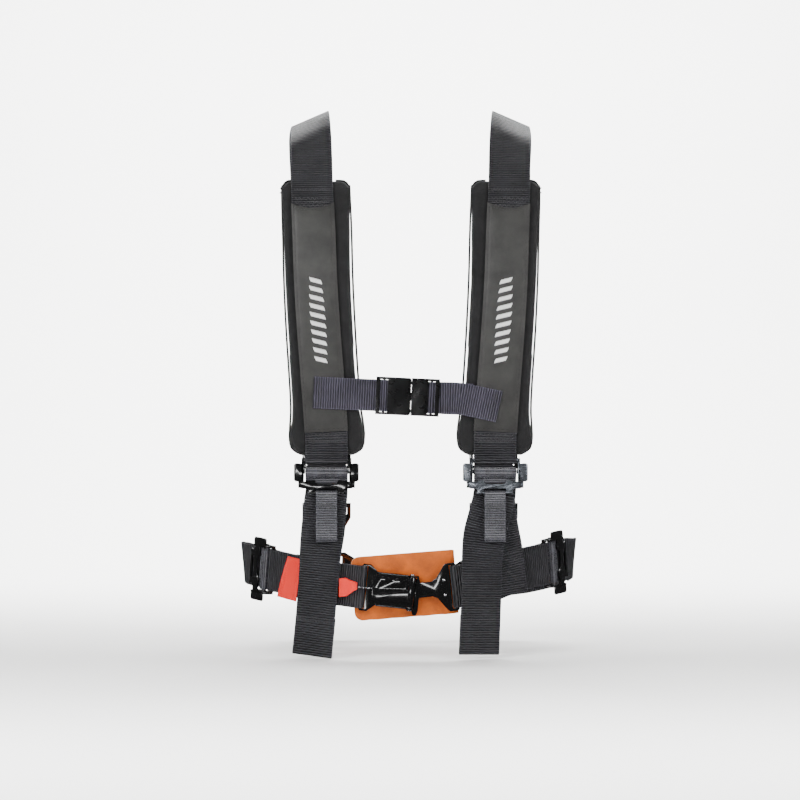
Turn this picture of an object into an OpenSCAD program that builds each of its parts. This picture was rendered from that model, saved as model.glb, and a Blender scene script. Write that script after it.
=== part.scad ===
// Four-point harness: two padded shoulder straps, a chest strap and a latch-and-link lap belt.
// +X is to the right and +Z is up for someone who faces the wearer, and +Y goes towards the wearer's back.
// The origin is on the body's centre line, inside the lap loop, level with the buckle.

/* [Overall] */
// Height of the shoulder ridge above the buckle
rise = 580; // [520:1:700]
// Half the distance between the two shoulder adjusters
chest_half = 101; // [96:1:130]
// Half the width of the lap loop at its adjusters
waist_half = 182; // [175:1:240]

/* [Webbing] */
// Width of the shoulder and lap webbing
web_w = 50.8; // [38:0.1:62]
// Thickness of the shoulder and lap webbing
web_t = 1.4; // [1.1:0.1:1.7]
// Width of the chest webbing
chest_w = 38; // [30:0.5:46]
// Thickness of the chest and pull tab webbing
thin_t = 1.2; // [1:0.1:1.4]
// Width of the pull tabs
tab_w = 25.4; // [20:0.1:31]
// Length of a pull tab below its bar
tab_len = 58; // [45:1:75]

/* [Shoulder pads] */
// Width of a pad
pad_w = 83; // [72:1:100]
// Thickness of a pad
pad_t = 13; // [10:0.5:16]
// Width of the leatherette cover
cover_w = 52; // [48:0.5:62]
// Thickness of the leatherette cover
cover_t = 1.5; // [1.2:0.1:1.8]

/* [Adjusters] */
// Thickness of the pressed frame
frame_t = 2.5; // [2:0.1:3]
// Diameter of the fixed bar and of the knurled slide bar
bar_d = 6; // [5:0.1:6.4]
// Travel of the slide bar in its slots
bar_travel = 3; // [2:0.1:3]
// Height of the side flanges
flange_h = 11; // [9:0.5:13]
// Clearance round a bar that slides or turns in metal
bar_gap = 0.05; // [0.02:0.01:0.1]

/* [Buckle] */
// Length of the latch plate
latch_len = 73; // [70:1:80]
// Thickness of the latch plate
latch_t = 2.5; // [2:0.1:3]
// Thickness of the link
link_t = 3; // [2.5:0.1:3.5]
// Diameter of the lever's hinge pin
pin_d = 5; // [4:0.1:5.5]
// Length of the leather pad
leather_len = 125; // [110:1:140]
// Height of the leather pad
leather_h = 77; // [65:1:90]

/* [Anchors] */
// Diameter of the mounting bolt hole
bolt_hole_d = 11.5; // [8:0.1:13]
// Thickness of an anchor bracket
anchor_t = 3; // [2.5:0.1:4]

/* [Hidden] */
LEFT = 0;
RIGHT = 1;
round_fn = 48;
black = "#1c1c1e";
webbing = "#2a292c";
felt = "#202022";
vinyl = "#3a3836";
red = "#f0382a";
tan = "#b8642a";

lay = web_t + 0.2; // step from one layer of webbing to the next
bar_r = bar_d / 2;
wrap_r = bar_r + 0.2 + web_t / 2; // middle of webbing that wraps a bar

// Shoulder adjuster: its middle, and places along it measured upwards from there.
adj = [chest_half, -133, 134.5];
fixed_b = 21; // fixed bar
slide_b = 8; // slide bar, held down
plate_top = -2.5;
plate_low = -12.5;
tongue_low = -19.5;
tab_bar_r = 1.5;
tab_bar_b = tongue_low + tab_bar_r;
strap_b = -8; // where the fixed webbing behind the plate begins
leg_b = -5.5; // where the webbing on the slide bar ends
inner_a = web_w / 2 + 1.8; // inner face of a flange

// Lap adjuster: the middle of each side's, its yaw and its pitch. All lap places are for +X and are mirrored.
lap_yaw = 46;
lap_pitch = 6;
lap_mid = [[waist_half + 2, -55, 22], [waist_half - 3, -55, 30]];

// Latch: its middle, its droop and places in its own frame, x along it and n towards the front.
latch_at = [-26, -126, 0];
latch_droop = 6;
latch_end = -latch_len / 2; // left end
slot_bar = 6;
body_half = 20.5;
ear_half = web_w / 2 + 1.2;
pin_x = 26;
pin_n = latch_t + 0.4 + link_t + 5.1;
hub_r = pin_d / 2 + 2.1;
wall_t = 2;
link_at = [19.4, -126 - latch_t - 0.4, 0.6];
link_rise = 6;
link_end = 37; // right end of the link from link_at

// Chest buckle: its middle, and its slope down to the right.
chest_at = [-4, -135.5, 232];
chest_slope = 2.6;
loop_r = 2.4; // middle of chest webbing round a ladder bar
ladder_x = 28.5; // ladder bar's distance from the buckle's middle
plug_travel = 24;

function unit(v) = v / norm(v);
function xyz(p) = [p[0], p[1], p[2]];
function wide(p) = [p[3], p[4], p[5]];
function blend_at(a, b, c, d, t) =
    0.5 * (2 * b + (c - a) * t + (2 * a - 5 * b + 4 * c - d) * t * t + (3 * b - a - 3 * c + d) * t * t * t);
// A smooth curve through the points, with n steps from each to the next.
function smooth(p, n) = concat(
    [for (i = [0:len(p) - 2]) for (k = [0:n - 1])
        blend_at(p[max(i - 1, 0)], p[i], p[i + 1], p[min(i + 2, len(p) - 1)], k / n)],
    [p[len(p) - 1]]);
// A flat arc of points, [n, b], about a centre.
function arc(cn, cb, r, from, to, n) =
    [for (k = [0:n]) let (a = from + (to - from) * k / n) [cn + r * cos(a), cb + r * sin(a)]];
function along(p, i) = unit(xyz(p[min(i + 1, len(p) - 1)]) - xyz(p[max(i - 1, 0)]));
function across(p, i) = let (t = along(p, i), w = wide(p[i])) unit(w - (w * t) * t);
function flat_ring(w, t, off = 0) =
    [[-w / 2, off - t / 2], [w / 2, off - t / 2], [w / 2, off + t / 2], [-w / 2, off + t / 2]];
function soft_ring(w, t, c, off = 0) = [
    [w / 2, off - t / 2 + c], [w / 2, off + t / 2 - c], [w / 2 - c, off + t / 2], [c - w / 2, off + t / 2],
    [-w / 2, off + t / 2 - c], [-w / 2, off - t / 2 + c], [c - w / 2, off - t / 2], [w / 2 - c, off - t / 2]];
function ramp(x, a, b) = min(1, max(0, (x - a) / (b - a)));

// A solid swept along a path of [x, y, z, and the direction of its width], with one ring of [across, out] a station.
module sweep(path, rings) {
    m = len(rings[0]);
    n = len(path);
    points = [for (i = [0:n - 1]) let (t = along(path, i), w = across(path, i), o = cross(t, w))
        for (q = rings[i]) xyz(path[i]) + q[0] * w + q[1] * o];
    sides = [for (i = [0:n - 2]) for (j = [0:m - 1]) let (k = (j + 1) % m, a = i * m, b = (i + 1) * m)
        for (f = [[b + j, b + k, a + k], [b + j, a + k, a + j]]) f];
    polyhedron(points, concat([[for (j = [0:m - 1]) j], [for (j = [m - 1:-1:0]) (n - 1) * m + j]], sides),
        convexity = 10);
}

module strap(path, w = web_w, t = web_t, off = 0) {
    sweep(path, [for (p = path) flat_ring(w, t, off)]);
}

// Builds for +X, and mirrors that for the left side.
module on_side(side) {
    if (side == LEFT) mirror([1, 0, 0]) children();
    else children();
}

// ---- shoulder straps ----

// Heights above the adjuster stretch with the rise of the shoulder.
function up(z) = adj[2] + (z - adj[2]) * (rise - adj[2]) / (580 - adj[2]);
function out(x) = x + chest_half - 101;
function shoulder_point(p) = [out(p[0]), p[1], up(p[2]), p[3], p[4], p[5]];
// A point beside the shoulder adjuster: b up from its middle and n out from its plate.
function at_adj(q) = [adj[0], adj[1] - q[0], adj[2] + q[1], 1, 0, 0];

back_points = [[110, 104, 228, 1, 0, 0], [114, 106, 270, 1, 0, 0], [119, 108, 330, 1, 0, 0],
    [123, 107, 400, 1, 0, 0], [127, 101, 466, 1, 0.06, 0], [129, 84, 522, 1, 0.1, -0.1],
    [129, 48, 562, 1, 0.08, -0.3]];
ridge_point = [126, 5, 580, 1, 0, -0.44];
front_points = [[124, -28, 565, 1, -0.05, -0.3], [121.8, -60, 533, 1, -0.1, -0.12],
    [119.6, -95, 483, 1, -0.06, 0], [117, -112, 432, 1, -0.02, 0], [114.4, -124, 372, 1, 0, 0],
    [110.5, -131, 312, 1, 0, 0], [106.4, -133.6, 260, 1, 0, 0], [103.2, -133.8, 218, 1, 0, 0],
    [101.4, -133.8, 190, 1, 0, 0]];
// The rear end comes down through the slide, goes round the anchor's bar and back up through the slide.
anchor_z = 92;
anchor_y = 104;
slide_z = 160;
rear_x = 108;
slide_near = 1.25 + web_t / 2; // the slide's inner face, out from the middle of the rear webbing
weave_out = slide_near + frame_t + 0.15 + lay + web_t / 2; // the outer layer where it passes outside the slide
weave = [[0.8, 44], [0.8, 20], [1, 17], [3.7, 10.8], [weave_out - 0.4, 4.6], [weave_out, 0],
    [weave_out - 0.4, -4.6], [3.7, -10.8], [1, -17], [0.8, -20]];
function rear(q) = [out(rear_x), anchor_y + q[0], q[1], 1, 0, 0];
function weave_in(q) = q[0] < 2 ? [q[0] - lay, q[1]] : [q[0] - lay + 0.1, q[1] > 0 ? q[1] - 0.5 : q[1] + 0.5];

// The part of the strap's curve that the pad and its cover follow too, and its number of steps a point.
steps = 3;
shoulder_curve = smooth(concat(
    [for (p = concat(back_points, [ridge_point], front_points)) shoulder_point(p)],
    [at_adj([0.9, 38]), at_adj([2.4, 28])]), steps);
front_start = steps * (len(back_points) + 1);

function shoulder_path() = concat(
    smooth([for (q = weave) rear([q[0], slide_z + q[1]])], 2),
    smooth([rear([1.6, slide_z - 34]), rear([wrap_r, anchor_z + 12])], 2),
    [for (q = arc(0, 0, wrap_r, 0, -180, 10)) rear([q[0], anchor_z + q[1]])],
    smooth([rear([-wrap_r, anchor_z + 12]), rear([-1.6, slide_z - 34])], 2),
    smooth([for (i = [len(weave) - 1:-1:0]) let (q = weave_in(weave[i])) rear([q[0], slide_z + q[1]])], 2),
    shoulder_curve,
    [for (q = arc(0, fixed_b, wrap_r, 0, -180, 10)) at_adj(q)],
    smooth([at_adj([-2.6, 28]), at_adj([-0.8, 38]), at_adj([-0.8, 52])], 3));

module shoulder_strap(side) {
    color(webbing) on_side(side) strap(shoulder_path());
}

pad_back = web_t / 2 + lay + 0.2; // from the middle of the webbing to the pad's front face
pad_route = concat([for (i = [front_start + 5:front_start + steps * 9]) shoulder_curve[i]],
    [at_adj([0.6, 33]), at_adj([0.3, 29])]);
pad_lean = 5; // how far a pad's upper end sits towards the neck
// A pad widens a little at its lower end and is thinner at both ends.
module shoulder_pad(side) {
    n = len(pad_route) - 1;
    color(felt) on_side(side) sweep(pad_route, [for (i = [0:n]) let (
        end = min(i, n - i) / n,
        w = pad_w + 7 * ramp(i / n, 0.82, 0.94) - 16 * (1 - ramp(end, 0, 0.05)),
        t = pad_t * (0.5 + 0.5 * ramp(end, 0, 0.06)))
        [for (q = soft_ring(w, t, t * 0.3, -pad_back - pad_t / 2)) [q[0] - pad_lean * (1 - i / n), q[1]]]]);
}

cover_route = [for (i = [front_start + 7:front_start + steps * 8]) shoulder_curve[i]];
module pad_cover(side) {
    color(vinyl) on_side(side) strap(cover_route, cover_w, cover_t, (web_t + cover_t) / 2 + 0.2);
}

// The load strap comes up from the lap belt behind the adjuster's plate. It is sewn to the belt at its lower end.
lower_points = [
    [[102, -123.4, 108, 1, 0, 0], [104, -121.4, 76, 1, 0.06, 0], [108, -118.8, 44, 0.94, 0.3, 0],
     [109.5, -117.8, 20, 0.87, 0.46, 0], [111, -117, -13, 0.87, 0.46, 0]],
    [[100, -123.4, 108, 1, 0, 0], [104, -121.6, 76, 1, 0.06, 0], [111, -118.8, 46, 0.94, 0.3, 0.05],
     [116, -116, 20, 0.87, 0.46, 0.1], [119, -115, -6, 0.87, 0.46, 0.14]]];
module lower_strap(side) {
    color(webbing) on_side(side) strap(smooth(concat(
        [at_adj([-5.4, strap_b]), at_adj([-7.4, -16])],
        [for (p = lower_points[side]) [out(p[0]), p[1], p[2], p[3], p[4], p[5]]]), 3));
}

// The free tail hangs in front of the lap belt, with its end folded back and sewn.
tail_points = [
    [[103, -126.4, 106, 1, 0, 0], [105.4, -126.4, 82, 1, 0.02, 0], [107.6, -127.2, 58, 1, 0.06, 0],
     [110, -127.6, 25, 0.94, 0.28, 0], [114, -128, -26, 0.94, 0.34, 0], [119, -128, -78, 0.94, 0.34, 0]],
    [[99, -126.4, 106, 1, 0, 0], [93, -126.6, 84, 1, 0.02, 0], [88, -127.8, 64, 1, 0.06, 0],
     [85.4, -131.6, 34, 0.95, 0.26, 0], [85, -134, 5, 0.94, 0.3, 0], [82, -133, -76, 0.94, 0.3, 0]]];
hem_len = 46;
module tail(side) {
    route = smooth(concat([at_adj([-3.4, strap_b]), at_adj([-5, -16])],
        [for (p = tail_points[side]) [out(p[0]), p[1], p[2], p[3], p[4], p[5]]]), 3);
    last = route[len(route) - 1];
    way = along(route, len(route) - 1);
    inwards = -cross(way, across(route, len(route) - 1));
    turn = [for (k = [1:5]) let (a = 36 * k)
        xyz(last) + way * sin(a) * lay / 2 + inwards * (1 - cos(a)) * lay / 2];
    hem = [for (k = [1:3]) xyz(last) + inwards * lay - way * hem_len * k / 3];
    color(webbing) on_side(side) strap(concat(route,
        [for (q = concat(turn, hem)) [q[0], q[1], q[2], last[3], last[4], last[5]]]));
}

// A plate with two windows that the doubled rear webbing weaves through.
module rear_slide(side) {
    slide_w = web_w + 12;
    window = [3, 16.8];
    color(black) on_side(side) translate([out(rear_x), anchor_y + slide_near, slide_z]) difference() {
        translate([-slide_w / 2, 0, -21]) cube([slide_w, frame_t, 42]);
        for (z = [-window[1], window[0]])
            translate([-web_w / 2 - 1, -1, z]) cube([web_w + 2, frame_t + 2, window[1] - window[0]]);
    }
}

// ---- adjusters ----

// The frame in its own axes: x across, z up to the fixed bar, -y out. Both kinds of adjuster use it.
module frame_solid() {
    lip = 9; // how far the flanges' front edges turn outwards
    slot_r = bar_r + bar_gap;
    plate_half = inner_a + 6.8;
    top = fixed_b + bar_r;
    color(black) difference() {
        union() {
            for (s = [-1, 1]) {
                // side flange with a raised front corner
                translate([s * (inner_a + frame_t / 2), 0, 0]) rotate([90, 0, -90])
                    linear_extrude(frame_t, center = true)
                        polygon([[-2, -5], [-2, top], [4, top], [flange_h, top - 5], [flange_h, -4], [5, -5]]);
                // lip turned outwards
                translate([s > 0 ? inner_a : -inner_a - lip - frame_t, -flange_h, -4])
                    cube([lip + frame_t, frame_t, top - 2]);
                // upturned corner of the plate
                translate([s > 0 ? plate_half - frame_t : -plate_half, -4, plate_low])
                    cube([frame_t, 4, plate_top - plate_low]);
            }
            translate([0, 0, fixed_b]) rotate([0, 90, 0])
                cylinder(r = bar_r, h = 2 * inner_a + 1, center = true, $fn = round_fn);
            translate([-plate_half, -frame_t / 2, plate_low]) cube([2 * plate_half, frame_t, plate_top - plate_low]);
            // tongue
            difference() {
                translate([-21.5, -frame_t / 2, tab_bar_b]) cube([43, frame_t, plate_low - tab_bar_b + 1]);
                translate([-tab_w / 2 - 0.6, -3, tab_bar_b - 1]) cube([tab_w + 1.2, 6, plate_low - tab_bar_b]);
            }
            translate([0, 0, tab_bar_b]) rotate([0, 90, 0])
                cylinder(r = tab_bar_r, h = 43, center = true, $fn = round_fn);
        }
        // slots for the slide bar
        for (z = [slide_b, slide_b + bar_travel]) translate([0, 0, z]) rotate([0, 90, 0])
            cylinder(r = slot_r, h = 4 * inner_a, center = true, $fn = round_fn);
        translate([-2 * inner_a, -slot_r, slide_b]) cube([4 * inner_a, 2 * slot_r, bar_travel]);
        // round notches in the plate's upper edge
        for (s = [-1, 1]) translate([s * 15, 0, plate_top]) rotate([90, 0, 0])
            cylinder(r = 3, h = 6, center = true, $fn = round_fn);
    }
}

// The slide bar, with its ends in the slots.
module bar_solid() {
    color("#4a4a4e") translate([0, 0, slide_b]) rotate([0, 90, 0])
        cylinder(r = bar_r, h = 2 * (inner_a + frame_t + 0.8), center = true, $fn = round_fn);
}

// Webbing over the slide bar, in the adjuster's plane of [n, b].
wrap_points = concat(
    smooth([[-5.4, leg_b], [-5.4, -2], [-5.2, 1], [-4.3, 5]], 2),
    arc(0, slide_b, wrap_r, 180, 0, 10),
    smooth([[3.3, 4.6], [0.6, 1.8], [-2.5, 0.3], [-3.4, -2.2], [-3.4, leg_b]], 2));

module wrap_solid() {
    color(webbing) strap([for (q = wrap_points) [0, -q[0], q[1], 1, 0, 0]]);
}

module at_shoulder(side) {
    on_side(side) translate(adj) children();
}

module at_lap(side) {
    on_side(side) translate(lap_mid[side]) rotate([0, 0, lap_yaw]) rotate([0, -90 - lap_pitch, 0]) children();
}

module adjuster_frame(side) at_shoulder(side) frame_solid();
module adjuster_bar(side) at_shoulder(side) bar_solid();
module bar_webbing(side) at_shoulder(side) wrap_solid();
module lap_frame(side) at_lap(side) frame_solid();
module lap_bar(side) at_lap(side) bar_solid();
module lap_bar_webbing(side) at_lap(side) wrap_solid();

// A folded loop of narrow webbing on the tongue's bar.
module pull_tab(side) {
    r = tab_bar_r + 0.2 + thin_t / 2;
    half = thin_t / 2 + 0.1;
    low = tab_bar_b - tab_len;
    route = concat(
        smooth([[-half, tab_bar_b - 14], [-half, tab_bar_b - 8], [-1.4, tab_bar_b - 4]], 3),
        arc(0, tab_bar_b, r, 190, -10, 8),
        smooth([[1.4, tab_bar_b - 4], [half, tab_bar_b - 9], [half, tab_bar_b - 15], [2.4, tab_bar_b - 30],
            [2.8, low + 14], [1.8, low + 3]], 3),
        [[0, low]],
        smooth([[-1.8, low + 3], [-2.6, low + 14], [-2.2, tab_bar_b - 30], [-half, tab_bar_b - 16]], 3));
    color(webbing) at_shoulder(side) strap([for (q = route) [0, -q[0], q[1], 1, 0, 0]], tab_w, thin_t);
}

// An anchor bracket in its own axes: its round bar at the origin along x, and its plate hanging in -z.
module anchor_solid() {
    lug = web_w / 2 + 6;
    hole_z = -36;
    color(black) difference() {
        union() {
            rotate([0, 90, 0]) cylinder(r = bar_r, h = 2 * lug, center = true, $fn = round_fn);
            rotate([90, 0, 0]) linear_extrude(anchor_t, center = true) difference() {
                union() {
                    polygon([[-lug, 0], [lug, 0], [lug, -16], [17, -40], [-17, -40], [-lug, -16]]);
                    translate([0, hole_z]) circle(r = 17, $fn = 64);
                }
                translate([-web_w / 2 - 1, -12]) square([web_w + 2, 13]);
            }
        }
        translate([0, 0, hole_z]) rotate([90, 0, 0])
            cylinder(d = bolt_hole_d, h = 3 * anchor_t, center = true, $fn = round_fn);
    }
}

module shoulder_anchor(side) {
    on_side(side) translate([out(rear_x), anchor_y, anchor_z]) anchor_solid();
}

// ---- lap belt ----

function lap_point(side, a, b, n) = let (
    sp = sin(lap_pitch), cp = cos(lap_pitch), sy = sin(lap_yaw), cy = cos(lap_yaw), v = -a * sp - b * cp)
    lap_mid[side] + [v * cy + n * sy, v * sy - n * cy, a * cp - b * sp];
function at_lap_bn(side, q) = let (p = lap_point(side, 0, q[1], q[0]),
    w = lap_point(side, 1, 0, 0) - lap_point(side, 0, 0, 0)) [p[0], p[1], p[2], w[0], w[1], w[2]];
// Places further out stretch with the waist.
function girth(x) = 60 + (x - 60) * (waist_half - 60) / (182 - 60);
function girth_point(p) = [girth(p[0]), p[1], p[2], p[3], p[4], p[5]];

latch_bar_x = latch_end + slot_bar / 2;
latch_bar = [-(latch_at[0] + latch_bar_x * cos(latch_droop)), latch_at[1] - latch_t / 2,
    latch_at[2] - latch_bar_x * sin(latch_droop)];
latch_loop_r = norm([slot_bar, latch_t]) / 2 + 0.3 + web_t / 2;
latch_w = [-sin(latch_droop), 0, cos(latch_droop)];
latch_loop = [for (q = arc(0, 0, latch_loop_r, 90, 270, 10))
    concat(latch_bar + [q[0], q[1], 0], latch_w)];
function shift(p, d) = [p[0] + d[0], p[1] + d[1], p[2] + d[2], p[3], p[4], p[5]];

lap_front = [
    [[100, -118.8, 8, -0.08, 0, 1], [120, -108.6, 11, -0.08, 0, 1], [138, -96.6, 14, -0.08, 0, 1]],
    [[100, -119.4, 12, -0.16, 0, 1], [118, -110.6, 18, -0.16, 0, 1], [136, -98.4, 23, -0.12, 0, 1]]];
// The right belt starts behind the tail, clear of the webbing that moves with the link.
lap_start = [[shift(latch_loop[10], [6, 0.8, 0.5]), [84, -124.4, 6, -0.1, 0, 1]], [[86, -126.2, 7, -0.12, 0, 1]]];
lap_steps = [4, 3];
lap_curves = [for (side = [LEFT, RIGHT]) smooth(concat(lap_start[side],
    lap_front[side],
    [at_lap_bn(side, [0.7, 42]), at_lap_bn(side, [2.6, 30])]), lap_steps[side])];
// The end that goes round the fixed bar comes back along the inner face of the belt.
function inner(c, i) = let (p = xyz(c[i]) - lay * cross(along(c, i), across(c, i))) concat(p, wide(c[i]));
function lap_bar_end(side) = let (c = lap_curves[side], k = lap_steps[side], n = len(c) - 1) concat(
    [for (q = arc(0, fixed_b, wrap_r, 0, -180, 10)) at_lap_bn(side, q)],
    smooth([at_lap_bn(side, [-2.6, 28]), at_lap_bn(side, [-1, 38]), inner(c, n - k - 1), inner(c, n - 2 * k)], 3));

module lap_strap_left() {
    color(webbing) on_side(LEFT) strap(concat(
        smooth([[98, -117.6, 7.6, -0.08, 0, 1], [82, -122.8, 6, -0.1, 0, 1],
            shift(latch_loop[0], [5, -0.6, 0.4])], 3),
        latch_loop, lap_curves[LEFT], lap_bar_end(LEFT)));
}

module lap_strap_right() {
    color(webbing) on_side(RIGHT) strap(concat(lap_curves[RIGHT], lap_bar_end(RIGHT)));
}

lap_anchor_at = [100, 124, -2];
lap_anchor_turn = 14; // how far an anchor's plate turns off the X axis
rear_points = [
    [[203, -18, 25, 0.08, -0.05, 1], [204, 14, 24, 0.04, -0.02, 1], [198, 44, 20, 0.04, -0.01, 1],
     [182, 80, 12, 0.04, 0, 1], [152, 108, 3, 0, 0, 1]],
    [[198.5, -18, 31, 0.08, -0.05, 1], [200, 14, 29, 0.04, -0.02, 1], [195, 44, 23, 0.04, -0.01, 1],
     [180, 80, 13, 0.04, 0, 1], [152, 108, 4, 0, 0, 1]]];

module lap_rear_strap(side) {
    c = cos(lap_anchor_turn);
    s = sin(lap_anchor_turn);
    loop = [for (q = arc(0, 0, wrap_r, -90, -270, 10))
        concat(lap_anchor_at + [q[0] * c + q[1] * s, q[1] * c - q[0] * s, 0], [0, 0, 1])];
    color(webbing) on_side(side) strap(concat(
        [at_lap_bn(side, [-5.4, strap_b])],
        smooth(concat([at_lap_bn(side, [-5.6, -13]), at_lap_bn(side, [-6.6, -20])],
            [for (p = rear_points[side]) girth_point(p)],
            [[124, 121.2, -1, 0, 0, 1], [108, 124.6 - wrap_r, -2, 0, 0, 1]]), 3),
        loop,
        smooth([[108, 122.4 + wrap_r, -2, 0, 0, 1], [124, 123, -1, 0, 0, 1], [150, 111.6, 3, 0, 0, 1]], 3)));
}

module lap_tail(side) {
    points = [[[206.6, -20, 25, 0.1, -0.05, 1], [208.4, 12, 25, 0.05, -0.02, 1], [202.6, 44, 20, 0.05, 0, 1]],
        [[202, -20, 31, 0.1, -0.05, 1], [204.6, 12, 29.6, 0.05, -0.02, 1], [199.6, 44, 23, 0.05, 0, 1]]];
    color(webbing) on_side(side) strap(concat(
        [at_lap_bn(side, [-3.4, strap_b])],
        smooth(concat([at_lap_bn(side, [-3.4, -13]), at_lap_bn(side, [-3.6, -20])],
            [for (p = points[side]) girth_point(p)]), 3)));
}

module lap_anchor(side) {
    on_side(side) translate(lap_anchor_at) rotate([0, 0, -lap_anchor_turn]) rotate([0, 90, 0])
        anchor_solid();
}

// ---- latch and link ----

// Latch axes: x along the latch, z across it, -y out of it.
module at_latch() {
    translate(latch_at) rotate([0, latch_droop, 0]) children();
}

// A flat outline in [x, z], from n = near to n = far.
module plate(near, far) {
    translate([0, -near, 0]) rotate([90, 0, 0]) linear_extrude(far - near) children();
}

module latch_plate() {
    wall_low = 9;
    wall_end = -latch_end - 2.5;
    color(black) at_latch() difference() {
        union() {
            // base with a wide slotted end
            plate(0, latch_t) difference() {
                polygon([[latch_end, -ear_half + 3], [latch_end + 3, -ear_half - 1.5], [latch_end + 12, -ear_half - 1.5],
                    [-16, -body_half], [24, -body_half], [29, -body_half - 2], [31, -body_half - 7],
                    [34, -body_half - 7.5], [-latch_end, -body_half], [-latch_end, 12], [31, 17], [27, body_half],
                    [-16, body_half], [latch_end + 12, ear_half + 1.5], [latch_end + 3, ear_half + 1.5],
                    [latch_end, ear_half - 3]]);
                translate([latch_end + slot_bar, -web_w / 2 - 0.5]) square([latch_loop_r + web_t / 2 + 1 - slot_bar / 2, web_w + 1]);
            }
            // side walls with lobes round the pin
            for (s = [-1, 1]) translate([-14, -wall_low, s * (body_half - wall_t / 2) - wall_t / 2])
                cube([wall_end + 14, wall_low, wall_t]);
            for (s = [-1, 1]) translate([pin_x, -pin_n, s * (body_half - wall_t / 2)])
                cylinder(r = pin_d / 2 + 2.4, h = wall_t, center = true, $fn = round_fn);
            // bridge over the link's way in, with a pointed lower ear
            plate(latch_t + link_t + 0.9, latch_t + link_t + 3.4)
                polygon([[31.5, -body_half - 6], [33, -body_half - 7], [35, -body_half - 6], [-latch_end, -body_half],
                    [-latch_end, 12], [35, 16], [31.5, body_half - 1.6]]);
            for (z = [-body_half, body_half - wall_t - 2]) translate([31.5, -latch_t - link_t - 3, z])
                cube([3, link_t + 3, wall_t]);
        }
        translate([pin_x, -pin_n, 0]) cylinder(d = pin_d, h = 3 * body_half, center = true, $fn = round_fn);
    }
}

module lever_pin() {
    color("silver") at_latch() translate([pin_x, -pin_n, 0]) {
        cylinder(d = pin_d, h = 2 * body_half + 1, center = true, $fn = round_fn);
        for (s = [-1, 1]) translate([0, 0, s * (body_half + 0.8)])
            cylinder(d = pin_d + 1.6, h = 1.4, center = true, $fn = round_fn);
    }
}

spring_z = 10;
spring_len = 6;
// Close-wound torsion spring on the pin, with one leg under the lever and one on the base.
module lever_spring() {
    color("silver") at_latch() difference() {
        translate([pin_x, -pin_n, spring_z]) union() {
            cylinder(d = pin_d + 2, h = spring_len, center = true, $fn = round_fn);
            translate([-14, pin_d / 2 - 0.1, -spring_len / 2]) cube([14, 1, 1]);
        }
        translate([pin_x, -pin_n, spring_z])
            cylinder(d = pin_d + 0.4, h = 2 * spring_len, center = true, $fn = round_fn);
    }
}

lever_end = -21;
lever_half = body_half - wall_t - 0.7;
claw_half = 5;
module latch_lever() {
    claw_r = pin_n - latch_t - 0.6;
    color(black) at_latch() difference() {
        union() {
            translate([pin_x, -pin_n, 0])
                cylinder(r = hub_r, h = 2 * lever_half, center = true, $fn = round_fn);
            // handle: a lower upper half, a raised lower half and a rolled end
            plate(pin_n - 1.6, pin_n + 0.8)
                polygon([[lever_end + 4, -lever_half], [pin_x, -lever_half], [pin_x, lever_half],
                    [lever_end + 4, lever_half], [lever_end, lever_half - 4], [lever_end, 4 - lever_half]]);
            plate(pin_n + 0.8, pin_n + 3)
                polygon([[lever_end + 4, -lever_half + 1], [pin_x - 4, -lever_half + 1], [pin_x, -4], [pin_x - 3, 3],
                    [8, 1], [lever_end + 2, 0], [lever_end + 1, 4 - lever_half]]);
            for (p = [[-6, 12, 5], [12, 11, 6]]) translate([p[0], -pin_n - 0.8, p[1]]) rotate([90, 0, 0])
                cylinder(r = p[2], h = 1, $fn = round_fn);
            // claw that holds the link
            plate_claw(claw_r);
        }
        translate([pin_x, -pin_n, 0])
            cylinder(r = pin_d / 2 + bar_gap, h = 3 * body_half, center = true, $fn = round_fn);
        // room for the spring and, behind the hub, for its leg
        translate([pin_x, -pin_n, spring_z])
            cylinder(d = pin_d + 2.6, h = spring_len + 1, center = true, $fn = round_fn);
        translate([pin_x - hub_r - 0.4, -pin_n, spring_z - spring_len / 2 - 0.5])
            cube([2 * hub_r + 0.8, hub_r + 3, spring_len + 1]);
    }
}

// A sector of a disc about the pin, from a little behind straight down to 50 degrees.
module plate_claw(r) {
    intersection() {
        translate([pin_x, -pin_n, 0]) cylinder(r = r, h = 2 * claw_half, center = true, $fn = round_fn);
        translate([pin_x, -pin_n, -claw_half]) linear_extrude(2 * claw_half)
            polygon([[0, 0], [-0.09 * 20, 20], [-20, 20], [-24, 18], [-18, 13]]);
    }
}

wire_reach = 17.4;
module lever_wire() {
    color("silver") at_latch() translate([lever_end - wire_reach, 0.4 - pin_n, 0]) rotate([0, 90, 0])
        cylinder(d = 1.8, h = wire_reach, $fn = round_fn);
}

// The short red tab on the wire narrows from its hem to a folded point.
tab_path = [[-86, -132.8, 3, 0, 0, 1], [-80, -133.6, 3, 0, 0, 1], [-74, -134.6, 3.4, 0, 0, 1],
    [-68, -136, 4.2, 0, 0, 1], [-64.6, -136.6, 4.2, 0, 0, 1]];
module red_pull_tab() {
    sizes = [[21, 3], [20.4, 3], [17, 3.6], [11.6, 4.4], [7, 4.8]];
    color(red) sweep([for (k = [len(tab_path) - 1:-1:0]) tab_path[k]],
        [for (k = [len(tab_path) - 1:-1:0]) flat_ring(sizes[k][0], sizes[k][1])]);
}

// The red patch is sewn on the left belt, over the end of the load strap.
patch_drop = 4;
patch_steps = [15:21]; // the stretch of the belt's curve that it covers
module red_patch() {
    c = lap_curves[LEFT];
    color(red) on_side(LEFT) strap([for (i = patch_steps) shift(c[i], -patch_drop * across(c, i))],
        web_w + 1, web_t, lay + 0.5);
}

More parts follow.
